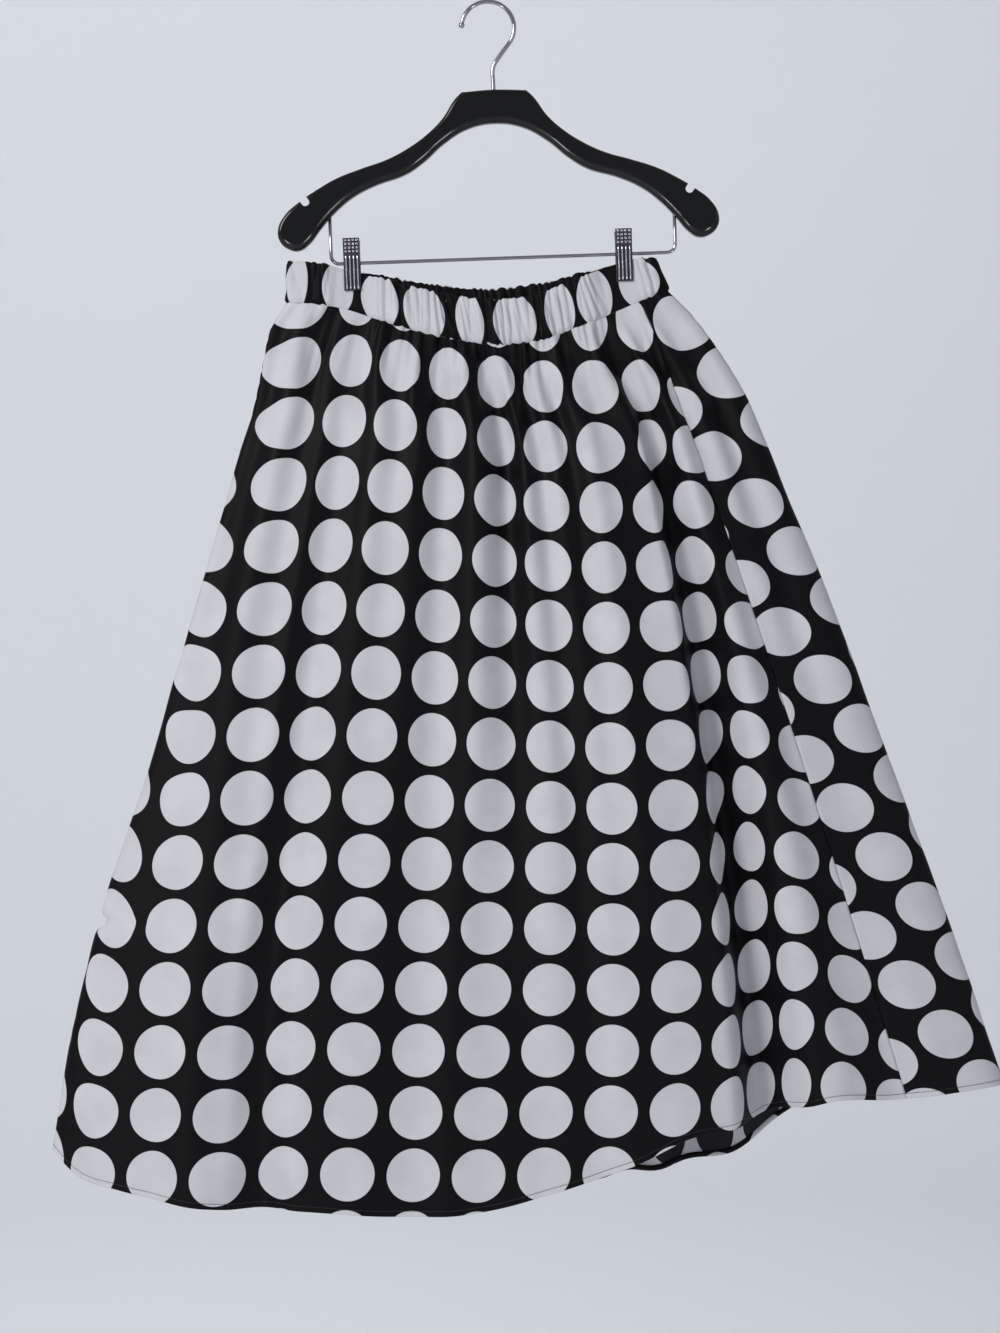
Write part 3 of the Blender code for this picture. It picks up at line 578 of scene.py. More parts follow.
def loop_row(down):
    """A row round the skirt: the cone's angle, the place and the gathers' height at each point."""
    left_angle = through(TURNS, "left", down)
    right_angle = through(TURNS, "right", down)
    radius = WAIST_RADIUS + PANEL_LENGTH * down
    angles, points = [], []
    for side, angle in ((FRONT, right_angle - left_angle), (BACK, CONE_ANGLE - right_angle + left_angle)):
        cloth = radius * math.radians(angle)
        flat = row_lengths(side_curve(side, down, 0))[-1]
        gathered = np.clip(1 - down / GATHER_REACH, 0, 1) ** 1.5
        taken = 1 + (max(cloth / flat, 1) - 1) * gathered
        curve = fitted_side(side, down, cloth / taken)
        length = row_lengths(curve)
        share = length / length[-1]
        if side is FRONT:
            place = slid_print(curve, share, down, radius, (left_angle, right_angle))
        else:
            place = left_angle + CONE_ANGLE - angle * share
        full = gather_height(flat, cloth, angle) if cloth > flat else 0
        rim = np.sin(math.pi * np.clip(share, 0, 1)) ** GATHER_EDGE_POWER
        loose = 1 - CLIP_FLATTENING * near_clip(ACROSS) * (1 - eased(down / GATHER_PINCH_FADES))
        from_seam = ((place - HALF_PANEL) % PANEL_ANGLE) / COLUMN_ANGLE
        from_seam = np.minimum(from_seam, PANEL_ANGLE / COLUMN_ANGLE - from_seam)
        loose *= 1 - np.exp(-((from_seam / STIFF_COLUMNS) ** 2))
        curve = np.column_stack([curve, full * rim * loose])
        angles.append(place if side is FRONT else place[::-1])
        points.append(curve if side is FRONT else curve[::-1])
    return np.concatenate(angles), np.concatenate(points)


def places_on(row, angles):
    """Place and gather height at angles of the cone, wherever those are round the skirt."""
    known, points = row
    turned = (angles - known[0]) % CONE_ANGLE + known[0]
    return np.stack([np.interp(turned, known, points[:, k]) for k in range(points.shape[1])], axis=-1)


def sheet_places(rows, angles, downs):
    """Places of a grid of cloth: downs has a row for each row of the grid and a column for each angle."""
    known = np.array([places_on(row, angles) for row in rows])
    at = np.clip(downs, 0, 1) * (len(rows) - 1)
    above = np.clip(at.astype(int), 0, len(rows) - 2)
    share = (at - above)[..., None]
    column = np.arange(len(angles))
    return known[above, column] * (1 - share) + known[above + 1, column] * share


def outwards(places):
    """Unit normals of a grid of places, away from the inside of the skirt."""
    along = np.gradient(places, axis=1)
    downwards = np.gradient(places, axis=0)
    normal = np.cross(downwards, along)
    return normal / np.maximum(np.linalg.norm(normal, axis=-1, keepdims=True), 1e-9)


def rucks(table, turns, below=None, slant=0.0, sharpness=1.4):
    """Rounded wrinkles with sharp hollows, for places given as turns round the waist."""
    total = np.zeros(np.broadcast(turns, slant).shape)
    for ruck in table:
        sway = ruck.sway * np.sin(2 * math.pi * ruck.sway_waves * turns + ruck.start)
        share, finer, start = SWAY_RIPPLE
        ripple = np.sin(2 * math.pi * (ruck.sway_waves * finer) * turns + start * ruck.start)
        sway = sway + share * ruck.sway * ripple
        much, sways, first = SLANT_SWAYS
        lean = RUCK_SLANT + much * np.sin(2 * math.pi * sways * turns + first + ruck.start)
        phase = 2 * math.pi * ruck.waves * turns + sway + ruck.start + lean * slant * (1 + 0.6 * sway)
        swell = 0.72 + 0.4 * np.sin(2 * math.pi * (ruck.sway_waves + 4) * turns + 2.2 * ruck.start)
        shape = 1 - 2 * np.abs(np.sin(phase / 2)) ** sharpness
        fade = 1.0 if below is None else np.clip(1 - below / (ruck.reach * (0.7 + 0.5 * swell)), 0, 1) ** 1.5
        total = total - ruck.height * swell * shape * fade
    return total


def smooth_noise(first, second, scale, start):
    """Gentle unevenness of the cloth, about 1 high, from a few crossing waves."""
    x, y = first / scale, second / scale
    return (
        np.sin(1.7 * x + 0.9 * y + start)
        + np.sin(-1.1 * x + 1.9 * y + 2.3 * start)
        + np.sin(2.9 * x - 0.6 * y + 3.1 * start)
        + 0.7 * np.sin(0.8 * x - 3.1 * y + 4.7 * start)
    ) / 3.7


def panel_steps(count, near, total):
    """Distances from one edge to the other: a few close steps next to each edge and even ones between."""
    first = np.array(near)
    middle = np.linspace(near[-1], total - near[-1], count - 2 * len(near) + 2)
    return np.concatenate([first, middle[1:-1], total - first[::-1]])


def panel_downs(hem):
    """Shares of the way down of a panel's rows: close at the seam and the hem, and even between."""
    hem_rows = np.array(HEM_STEPS[::-1]) / PANEL_LENGTH
    top_rows = np.array(TOP_STEPS) / PANEL_LENGTH
    even = np.linspace(0, 1, PANEL_ROWS - len(hem_rows) - len(top_rows) + 2)[1:-1]
    downs = [np.full_like(hem, down) for down in top_rows]
    downs += [top_rows[-1] + (hem - hem_rows[0] - top_rows[-1]) * share for share in even]
    downs += [hem - back for back in hem_rows]
    return np.array(downs)


def push_nick(places, downs):
    """Pushes the nick into the skirt's left edge."""
    from_left = places[..., 0] - through(OUTLINE, "left", downs)
    level = ((places[..., 2] - NICK_HEIGHT) / NICK_TALL) ** 2
    places[..., 0] += NICK_DEEP * np.exp(-level - np.maximum(from_left, 0) / NICK_WIDE)


def panel_lift(height, columns, below, above_hem, middle_angle, stitch):
    """How far the cloth stands out from its hung folds: gathers, unevenness, puckered seams and hem."""
    hem_arc = HEM_RADIUS * math.radians(PANEL_ANGLE)
    angles = PANEL_ANGLE * columns - HALF_PANEL
    turns = (middle_angle + angles)[None, :] / CONE_ANGLE + 0 * below
    lift = height * rucks(SKIRT_GATHERS, turns, below) * eased(below / 3.0 + 0.35)
    uneven = smooth_noise(angles[None, :] * UNEVEN_TURNS, below, UNEVEN_SCALE, 1.0 + middle_angle)
    lift += UNEVEN_HEIGHT * uneven * eased(below / UNEVEN_STARTS)
    edge = np.minimum(columns, 1 - columns)[None, :] * hem_arc * (WAIST_RADIUS + below) / HEM_RADIUS
    pucker = np.sin(below / 4.6 + 1.3 * np.sin(below / 31.0)) * (0.6 + 0.4 * np.sin(below / 53.0))
    lift += PUCKER_HEIGHT * pucker * np.exp(-edge / PUCKER_REACH) * eased(edge / 1.0)
    lift -= SEAM_DIP * np.exp(-((edge / SEAM_DIP_WIDTH) ** 2))
    lift -= STITCH_DIP * np.exp(-(((above_hem - stitch) / STITCH_WIDTH) ** 2))
    hem_wave = np.sin(columns * hem_arc / 17.0 + 1.4 * np.sin(columns * 9.0))[None, :]
    return lift + HEM_WAVE * hem_wave * np.exp(-above_hem / HEM_WAVE_REACH)


def panel_grid(rows, middle_angle, cut, settings):
    """Places and print coordinates of a panel: its allowance under the band, the cloth and its turned hem."""
    turn = settings.hem_turn / MM
    hem_arc = HEM_RADIUS * math.radians(PANEL_ANGLE)
    columns = panel_steps(PANEL_COLUMNS, SEAM_STEPS, hem_arc) / hem_arc
    angles = PANEL_ANGLE * columns - HALF_PANEL
    hem = hem_share(cut, angles) if cut else np.ones_like(angles)
    downs = panel_downs(hem)
    hung = sheet_places(rows, middle_angle + angles, downs)
    places, height = hung[..., :3], hung[..., 3]
    push_nick(places, downs)
    normal = outwards(places)
    below = downs * PANEL_LENGTH
    above_hem = (hem[None, :] - downs) * PANEL_LENGTH
    lift = panel_lift(height, columns, below, above_hem, middle_angle, settings.hem_stitch / MM)
    places = places + normal * lift[..., None]
    top = places[:1] - normal[:1] * SEAM_INSET + np.array([0, 0, SEAM_ALLOWANCE])
    turned = [places[-1:] - normal[-1:] * HEM_FOLD_DEPTH - np.array([0, 0, HEM_FOLD_DROP])]
    for share in HEM_TURN_SHARES:
        back = np.argmin(np.abs(above_hem[:, 0] - turn * share))
        turned.append(places[back : back + 1] - normal[back : back + 1] * HEM_TURN_DEPTH)
    places = np.concatenate([top, places, *turned])
    hem_below = [below[-1:] + turn * share for share in (HEM_FOLD_SHARE, *HEM_TURN_SHARES)]
    below = np.concatenate([below[:1] - SEAM_ALLOWANCE, below, *hem_below])
    radius = WAIST_RADIUS + below
    across = radius * np.sin(np.radians(angles))[None, :]
    along = radius * np.cos(np.radians(angles))[None, :] - WAIST_RADIUS
    first_row = FIRST_ROW_FRONT if cut else FIRST_ROW_BACK
    return places * MM, np.stack([across, along - first_row], axis=-1) * MM


def grid_object(name, places, prints, materials):
    """A grid whose points lie at places; its UV map named print says where each is on the flat cloth."""
    rows, columns = places.shape[:2]
    mesh = bmesh.new()
    bmesh.ops.create_grid(mesh, x_segments=columns - 1, y_segments=rows - 1, size=1)
    print_map = mesh.loops.layers.uv.new("print")
    spots = {}
    for point in mesh.verts:
        column = round((point.co.x + 1) / 2 * (columns - 1))
        row = round((1 - point.co.y) / 2 * (rows - 1))
        spots[point.index] = (row, column)
    for face in mesh.faces:
        face.smooth = True
        for corner in face.loops:
            corner[print_map].uv = prints[spots[corner.vert.index]]
    for point in mesh.verts:
        point.co = places[spots[point.index]]
    return object_from(name, mesh, materials)


def object_from(name, mesh, materials):
    data = bpy.data.meshes.new(name)
    mesh.to_mesh(data)
    mesh.free()
    for finish in materials:
        data.materials.append(finish)
    piece = bpy.data.objects.new(name, data)
    bpy.context.scene.collection.objects.link(piece)
    return piece


@contextmanager
def opened(piece):
    """A piece's mesh, opened for bmesh operators and put back after them."""
    mesh = bmesh.new()
    mesh.from_mesh(piece.data)
    yield mesh
    mesh.to_mesh(piece.data)
    mesh.free()


def bevelled(mesh, edges, offset, segments):
    bmesh.ops.bevel(
        mesh, geom=edges, offset=offset, segments=segments, profile=0.5, affect="EDGES", material=-1
    )


def smoothed(faces):
    for face in faces:
        face.smooth = True


def drawn_curve(name, dimensions, resolution, places, handles, cyclic=False, depth=0.0):
    """The mesh of a curve through places, each with its own kind of handles."""
    curve = bpy.data.curves.new(name, "CURVE")
    curve.dimensions = dimensions
    curve.bevel_depth = depth
    curve.bevel_resolution = 5
    curve.use_fill_caps = True
    curve.resolution_u = resolution
    spline = curve.splines.new("BEZIER")
    spline.bezier_points.add(len(places) - 1)
    spline.use_cyclic_u = cyclic
    for point, place, handle in zip(spline.bezier_points, places, handles):
        point.co = place
        point.handle_left_type = handle
        point.handle_right_type = handle
    guide = bpy.data.objects.new(name + "_guide", curve)
    bpy.context.scene.collection.objects.link(guide)
    graph = bpy.context.evaluated_depsgraph_get()
    drawn = bpy.data.meshes.new_from_object(guide.evaluated_get(graph))
    bpy.data.objects.remove(guide)
    return drawn


def give_wall(piece, thickness):
    """Cloth of one layer: the printed face outside, and the reverse in the second material slot."""
    wall = piece.modifiers.new("cloth", "SOLIDIFY")
    wall.thickness = thickness
    wall.offset = -1
    wall.material_offset = 1
    wall.material_offset_rim = 0


def belongs(piece, slot, *nodes):
    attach(piece, "root")
    if nodes:
        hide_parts(*nodes)


def socket_of(tree, socket, value):
    """Links a node's output to a socket, or sets the socket's own value."""
    if isinstance(value, bpy.types.NodeSocket):
        tree.links.new(value, socket)
    else:
        socket.default_value = value


def dressed(tree, shader, **inputs):
    """Sets or links the shader's inputs, each named with underscores for its spaces."""
    for name, value in inputs.items():
        socket_of(tree, shader.inputs[name.replace("_", " ")], value)


def node(tree, kind, **inputs):
    """A new node of a kind, with its inputs set or linked."""
    made = tree.nodes.new("ShaderNode" + kind)
    dressed(tree, made, **inputs)
    return made


def on_object(tree):
    """A spot's place on the object, in metres."""
    return node(tree, "TexCoord").outputs["Object"]


def maths(tree, operation, *values):
    made = tree.nodes.new("ShaderNodeMath")
    made.operation = operation
    for socket, value in zip(made.inputs, values):
        socket_of(tree, socket, value)
    return made.outputs[0]


def noise(tree, vector, scale, detail=2.0, roughness=0.5):
    made = node(tree, "TexNoise", Vector=vector, Scale=scale, Detail=detail, Roughness=roughness)
    return made.outputs["Fac"]


def ranged(tree, value, low, high, to_low, to_high, smooth=False):
    made = node(tree, "MapRange", Value=value, From_Min=low, From_Max=high, To_Min=to_low, To_Max=to_high)
    made.interpolation_type = "SMOOTHSTEP" if smooth else "LINEAR"
    return made.outputs[0]


def mixed(tree, share, first, second, blend="MIX"):
    made = tree.nodes.new("ShaderNodeMix")
    made.data_type = "RGBA"
    made.blend_type = blend
    socket_of(tree, made.inputs["Factor"], share)
    socket_of(tree, made.inputs["A"], first if isinstance(first, bpy.types.NodeSocket) else (*first, 1))
    socket_of(tree, made.inputs["B"], second if isinstance(second, bpy.types.NodeSocket) else (*second, 1))
    return made.outputs["Result"]


def bumped(tree, height, strength, distance, normal=None):
    made = node(tree, "Bump", Strength=strength, Distance=distance, Height=height)
    if normal:
        tree.links.new(normal, made.inputs["Normal"])
    return made.outputs["Normal"]


def new_finish(name):
    """A new material with its node tree and shader."""
    made = bpy.data.materials.new(name)
    made.use_nodes = True
    tree = made.node_tree
    return made, tree, tree.nodes["Principled BSDF"]


def flat_cloth_place(tree):
    """Where a spot is on the flat cloth: the UV map's vector and its two parts, in metres."""
    made = tree.nodes.new("ShaderNodeUVMap")
    made.uv_map = "print"
    parts = tree.nodes.new("ShaderNodeSeparateXYZ")
    tree.links.new(made.outputs["UV"], parts.inputs[0])
    return made.outputs["UV"], parts.outputs["X"], parts.outputs["Y"]


def off_centre(tree, value, spacing):
    """Distance from the nearest multiple of spacing."""
    share = maths(tree, "DIVIDE", value, spacing)
    return maths(tree, "MULTIPLY", maths(tree, "SUBTRACT", share, maths(tree, "ROUND", share)), spacing)


def printed_dots(tree, across, along, settings):
    """1 inside a printed dot and 0 between the dots."""
    away_across = off_centre(tree, across, settings.dot_across)
    away_along = off_centre(tree, along, settings.dot_down)
    squares = [maths(tree, "POWER", side, 2.0) for side in (away_across, away_along)]
    away = maths(tree, "SQRT", maths(tree, "ADD", *squares))
    radius = settings.dot_diameter / 2
    return ranged(tree, away, radius - DOT_EDGE, radius + DOT_EDGE, 1.0, 0.0, smooth=True)


def weave(tree, across, along, thread):
    """Height of a plain weave: threads over and under each other."""
    turn = 2 * math.pi / (2 * thread)
    over = maths(tree, "SINE", maths(tree, "MULTIPLY", across, turn))
    under = maths(tree, "SINE", maths(tree, "MULTIPLY", along, turn))
    return maths(tree, "MULTIPLY", over, under)


def cloth_finish(name, ground, dots, settings, sheen):
    """Printed cloth: dots on a ground, fine threads, soft creases and a little unevenness of colour."""
    made, tree, shader = new_finish(name)
    vector, across, along = flat_cloth_place(tree)
    dot = printed_dots(tree, across, along, settings)
    printed = mixed(tree, dot, ground, dots)
    cloudy = ranged(tree, noise(tree, vector, 24.0, 3.0), 0.3, 0.7, 0.93, 1.04)
    flecks = ranged(tree, noise(tree, vector, 1500.0, 1.0), 0.25, 0.75, 0.94, 1.06)
    shade = tree.nodes.new("ShaderNodeCombineColor")
    for channel in shade.inputs:
        tree.links.new(maths(tree, "MULTIPLY", cloudy, flecks), channel)
    threads = bumped(tree, weave(tree, across, along, THREAD_SPACING), 0.22, 0.00006)
    dressed(
        tree,
        shader,
        Base_Color=mixed(tree, 1.0, printed, shade.outputs[0], "MULTIPLY"),
        Roughness=ranged(tree, dot, 0.0, 1.0, 0.55, 0.68),
        Normal=bumped(tree, noise(tree, vector, 62.0, 3.0, 0.55), 0.30, 0.0011, threads),
        Specular_IOR_Level=0.11,
        Sheen_Weight=sheen,
        Sheen_Roughness=0.4,
    )
    return made


def thread_finish(name):
    """Dark polyester sewing thread with a twist."""
    made, tree, shader = new_finish(name)
    place = on_object(tree)
    dressed(
        tree,
        shader,
        Base_Color=mixed(tree, noise(tree, place, 1400.0), (0.012, 0.012, 0.014), (0.035, 0.035, 0.04)),
        Normal=bumped(tree, noise(tree, place, 2600.0, 1.0), 0.3, 0.0001),
        Roughness=0.6,
    )
    return made


def lacquer_finish(name, lacquer):
    """Glossy black lacquer over wood, with the faint orange peel and dust of a sprayed coat."""
    made, tree, shader = new_finish(name)
    place = on_object(tree)
    paler = [2.2 * part for part in lacquer]
    peel = bumped(tree, noise(tree, place, 260.0, 2.0), 0.05, 0.0006)
    dressed(
        tree,
        shader,
        Base_Color=mixed(tree, noise(tree, place, 30.0, 4.0), lacquer, paler),
        Roughness=ranged(tree, noise(tree, place, 90.0, 4.0), 0.35, 0.75, 0.10, 0.20),
        Normal=bumped(tree, noise(tree, place, 34.0, 1.0), 0.06, 0.002, peel),
        Specular_IOR_Level=0.38,
        Coat_Weight=0.18,
        Coat_Roughness=0.04,
    )
    return made


def chrome_finish(name, plated, roughness):
    """Polished chrome plate with fine wiping marks."""
    made, tree, shader = new_finish(name)
    place = on_object(tree)
    marks = noise(tree, place, 420.0, 4.0, 0.7)
    dressed(
        tree,
        shader,
        Base_Color=mixed(tree, noise(tree, place, 120.0, 3.0), plated, [0.86 * part for part in plated]),
        Roughness=ranged(tree, marks, 0.3, 0.75, roughness, roughness + 0.09),
        Normal=bumped(tree, noise(tree, place, 190.0, 2.0), 0.02, 0.0003),
        Metallic=1.0,
    )
    return made


def finishes():
    """The materials that several pieces share, made once."""
    cloth = bpy.context.scene.skirt_cloth
    hanger = bpy.context.scene.skirt_hanger
    reverse = (cloth.reverse_ground, cloth.reverse_dots)
    makers = {
        "face": ("dotted_cloth_face", cloth_finish, cloth.ground, cloth.dots, cloth, 0.02),
        "reverse": ("dotted_cloth_reverse", cloth_finish, *reverse, cloth, 0.0),
        "thread": ("dark_sewing_thread", thread_finish),
        "lacquer": ("black_gloss_lacquer", lacquer_finish, hanger.lacquer),
        "wire": ("polished_chrome_wire", chrome_finish, hanger.chrome, 0.07),
        # The clips' plates get a chrome darkened as painted shade, and their studs and ribs the same chrome
        # paled as painted highlight
        "plate": ("dulled_chrome_plate", chrome_finish, hanger.painted_shade_plate, 0.22),
        "painted_highlight_studs": ("polished_chrome_studs", chrome_finish, hanger.painted_highlight_studs, 0.12),
    }
    found = {}
    for key, (name, maker, *looks) in makers.items():
        found[key] = bpy.data.materials.get(name) or maker(name, *looks)
    return found


def panel_cut_area(cut, settings):
    """Flat area of a panel with its turned hem, in square metres."""
    angles = np.linspace(-HALF_PANEL, HALF_PANEL, 400)
    hem = WAIST_RADIUS + PANEL_LENGTH * (hem_share(cut, angles) if cut else 1) + settings.hem_turn / MM
    ring = (hem**2 - WAIST_RADIUS**2) / 2 * np.ones_like(angles)
    return float(np.mean(ring) * math.radians(PANEL_ANGLE)) * MM * MM


def declare_panel(cut, settings):
    panel_cut_area(cut, settings)


class SKIRT_OT_add_waistband(bpy.types.Operator):
    """Add the elastic casing, ruched all the way round"""

    bl_idname = "skirt.add_waistband"
    bl_label = "Add waistband"

    def execute(self, context):
        settings = context.scene.skirt_cloth
        row = loop_row(0.0)
        columns = np.linspace(0, 1, BAND_COLUMNS + 1)
        angles = PANEL_ANGLE - CONE_ANGLE + CONE_ANGLE * columns
        seam = places_on(row, angles)
        across = (seam[:, 0] - OUTLINE[0].left) / (OUTLINE[0].right - OUTLINE[0].left)
        in_front = (angles - TURNS[0].left) % CONE_ANGLE < TURNS[0].right - TURNS[0].left
        hump = np.sin(math.pi * np.clip(across, 0, 1)) ** 2
        back_top = through(BACK_WAIST, "top", across) + BACK_TOP_RISE * hump
        top = np.where(in_front, through(FRONT_WAIST, "top", across), back_top)
        profile = casing_profile()
        places = casing_places(profile, seam, across, top, angles)
        strip = np.array([spot[2] for spot in profile])[:, None]
        round_waist = band_print(angles, seam[:, 0], in_front, settings)
        prints = np.stack([round_waist[None, :] + 0 * strip, BAND_ROW - strip + 0 * round_waist], axis=-1)
        finish = finishes()
        sides = [finish["face"], finish["reverse"]]
        piece = grid_object("elastic_waistband", places * MM, prints * MM, sides)
        close_up(piece)
        give_wall(piece, settings.cloth_thickness)
        belongs(piece, "dotted_cloth", "waistband")
        return {"FINISHED"}


def casing_places(profile, seam, across, top, angles):
    """Places of the casing's grid, with its rucks, pinched flat under the clips."""
    places = np.empty((len(profile), len(angles), 3))
    for k, (up, _, _) in enumerate(profile):
        places[k] = seam[:, :3]
        places[k, :, 2] += (top - seam[:, 2]) * up
        places[k, :, 0] += (between(BAND_TOP_EDGES, across) - seam[:, 0]) * up
    along = np.gradient(places[0], axis=0)
    normal = np.stack([along[:, 1], -along[:, 0], 0 * along[:, 0]], axis=1)
    normal /= np.linalg.norm(normal, axis=1, keepdims=True)
    up = np.array([spot[0] for spot in profile])[:, None]
    out = np.array([spot[1] for spot in profile])[:, None]
    ruck = rucks(BAND_RUCKS, angles[None, :] / CONE_ANGLE, slant=up - 0.5, sharpness=0.85)
    ruck = RUCK_FLOOR + RUCK_SOFT * np.logaddexp(0, (ruck - RUCK_FLOOR) / RUCK_SOFT)
    free = 1 - BAND_FLATTENING * near_clip(across)[None, :]
    swell = np.where(out >= 0, 1.0, -0.35) * eased(np.minimum(up, 1.03 - up) / 0.10 + 0.12)
    lift = out + (0.90 + 0.95 * ruck) * free * swell
    places += normal[None] * lift[..., None]
    at_top = 0.75 * ruck * free * eased((up - 0.80) / 0.2)
    at_seam = 0.5 * ruck * free * eased((0.12 - up) / 0.12)
    places[..., 2] += at_top - at_seam
    return places


def band_print(angles, across, in_front, settings):
    """Places along the flat band strip, slid so that the dots across the front are where they show."""
    even = angles / CONE_ANGLE * BAND_LENGTH
    order = np.argsort(across[in_front])
    places, known = across[in_front][order], even[in_front][order]
    spots, wanted = [], []
    for number, dot in enumerate(BAND_DOTS):
        for side in (-0.5, 0.5):
            spots.append(dot.place + side * dot.wide)
            middle = (number - MIDDLE_DOT) * settings.dot_across / MM
            wanted.append(middle + side * settings.dot_diameter / MM)
    found = np.interp(spots, places, known)
    middle = (found[2 * MIDDLE_DOT] + found[2 * MIDDLE_DOT + 1]) / 2
    slid = np.array(wanted) - (found - middle)
    return even - middle + np.interp(even, found, slid, period=BAND_LENGTH)


def casing_out(up):
    """How far a side of the casing stands out from its middle at a share of its height."""
    return 0.95 * (1 - (2 * up - 1) ** 8) + 0.1


def casing_profile():
    """Round the casing from its top fold down the outside, under the seam and up the inside: share of the
    height, distance out from the middle, and place across the flat strip, in millimetres up from the seam."""
    half, shifted = BAND_STRIP / 2, BAND_STRIP + INNER_PRINT_SHIFT
    outside = [(up, casing_out(up), half * up) for up in np.linspace(0.965, 0.02, 22)]
    inside = [(up, -casing_out(up), shifted - half * up) for up in np.linspace(0.02, 0.965, 14)]
    crest = [(1.0, 0.45, 40.0), (0.99, 0.85, 39.6)]
    foot = [(0.0, 0.25, 0.0), (-0.004, -0.25, 80.0)]
    return crest + outside + foot + inside + [(0.99, -0.6, 40.4), (1.0, 0.45, 40.0)]


def close_up(piece):
    """Joins the points of a grid whose ends meet."""
    with opened(piece) as mesh:
        bmesh.ops.remove_doubles(mesh, verts=mesh.verts, dist=0.00001)


class SKIRT_OT_add_panels(bpy.types.Operator):
    """Add the front and the back panel, gathered into the band and hung in their folds"""

    bl_idname = "skirt.add_panels"
    bl_label = "Add skirt panels"

    def execute(self, context):
        settings = context.scene.skirt_cloth
        rows = [loop_row(down) for down in np.linspace(0, 1, HUNG_ROWS)]
        finish = finishes()
        for name, node, middle_angle, cut in (
            ("skirt_front_panel", "skirt_front", 0.0, FRONT_CUT),
            ("skirt_back_panel", "skirt_back", PANEL_ANGLE, None),
        ):
            places, prints = panel_grid(rows, middle_angle, cut, settings)
            piece = grid_object(name, places, prints, [finish["face"], finish["reverse"]])
            give_wall(piece, settings.cloth_thickness)
            belongs(piece, "dotted_cloth", node)
            declare_panel(cut, settings)
        return {"FINISHED"}


def on_hanger(mesh):
    """Turns a mesh from the hanger's upright frame, in millimetres, to where it hangs, in metres."""
    tilt = Matrix.Rotation(HANGER_TILT, 4, "Y")
    bmesh.ops.transform(mesh, matrix=tilt @ Matrix.Scale(MM, 4), verts=mesh.verts)


def wire_object(name, path, diameter, finish, smooth_path=True):
    """A round wire along points given as (across, out, up) in the hanger's frame, in millimetres."""
    handles = ["AUTO" if smooth_path else "VECTOR"] * len(path)
    drawn = drawn_curve(name, "3D", 6 if smooth_path else 1, path, handles, depth=diameter / 2)
    mesh = bmesh.new()
    mesh.from_mesh(drawn)
    bpy.data.meshes.remove(drawn)
    bmesh.ops.remove_doubles(mesh, verts=mesh.verts, dist=0.001)
    on_hanger(mesh)
    bmesh.ops.recalc_face_normals(mesh, faces=mesh.faces)
    for face in mesh.faces:
        face.smooth = len(face.verts) == 4
    return object_from(name, mesh, [finish])


def arc(centre, radius, start, end, steps):
    angles = np.radians(np.linspace(start, end, steps))
    return [(centre[0] + radius * math.cos(a), 0.0, centre[1] + radius * math.sin(a)) for a in angles]


class HANGER_OT_add_wires(bpy.types.Operator):
    """Add the hook with its rounded tip and the bar that carries the clips"""

    bl_idname = "hanger.add_wires"
    bl_label = "Add hook and clip bar"

    def execute(self, context):
        settings = context.scene.skirt_hanger
        finish = finishes()["wire"]
        hook_wire = settings.hook_wire / MM
        centre = (0.0, hook_wire / 2 - HOOK_RADIUS)
        neck = [(across, 0.0, up) for across, up in HOOK_NECK]
        path = neck + arc(centre, HOOK_RADIUS, HOOK_START, HOOK_END, 25)
        hook = wire_object("hook_wire", path, hook_wire, finish)
        tilt = Matrix.Rotation(HANGER_TILT, 4, "Y") @ Matrix.Scale(MM, 4) @ Matrix.Translation(path[-1])
        with opened(hook) as mesh:
            made = bmesh.ops.create_uvsphere(mesh, u_segments=20, v_segments=14, radius=TIP_SIZE * hook_wire)
            bmesh.ops.transform(mesh, matrix=tilt, verts=made["verts"])
            smoothed({face for point in made["verts"] for face in point.link_faces})
        belongs(hook, "chromed_wire", "hanger_hook")

        floor = BAR_HEIGHT + BAR_CORNER
        side = BAR_HALF_LENGTH - BAR_CORNER
        left = arc((BAR_MIDDLE - side, floor), BAR_CORNER, 180, 270, 9)
        right = arc((BAR_MIDDLE + side, floor), BAR_CORNER, 270, 360, 9)
        ends = [(BAR_MIDDLE + turn * BAR_HALF_LENGTH, 0.0, BAR_TOP) for turn in (-1, 1)]
        path = [ends[0]] + left + right + [ends[1]]
        bar = wire_object("clip_bar_wire", path, settings.bar_wire / MM, finish, False)
        belongs(bar, "chromed_wire", "clip_bar")
        return {"FINISHED"}


def hanger_outline():
    """The wooden hanger's edge, once round from the middle of its slightly crowned top."""
    right = ARM_TOP + ARM_UNDER
    left = tuple(WoodEdge(-edge.out, edge.z, edge.corner) for edge in reversed(right))
    edges = (TOP_MIDDLE,) + right + (UNDER_MIDDLE,) + left
    places = [(WOOD_MIDDLE + edge.out, edge.z, 0) for edge in edges]
    handles = ["VECTOR" if edge.corner else "AUTO" for edge in edges]
    drawn = drawn_curve("wood_outline", "2D", 9, places, handles, cyclic=True)
    points = np.array([(point.co.x, point.co.y) for point in drawn.vertices])
    bpy.data.meshes.remove(drawn)
    return points


def wood_profile(depth, steps=7):
    """Round the edge from back face to front face: share of the rounding's breadth, and depth."""
    half = depth / 2
    back, front = BACK_ROUNDING, FRONT_ROUNDING
    turn = np.linspace(math.pi / 2, 0, steps)
    rounded_back = [(1 - math.cos(a), half - back + back * math.sin(a)) for a in turn]
    rounded_front = [(1 - math.cos(a), -(half - front + front * math.sin(a))) for a in turn[::-1]]
    return rounded_back + rounded_front


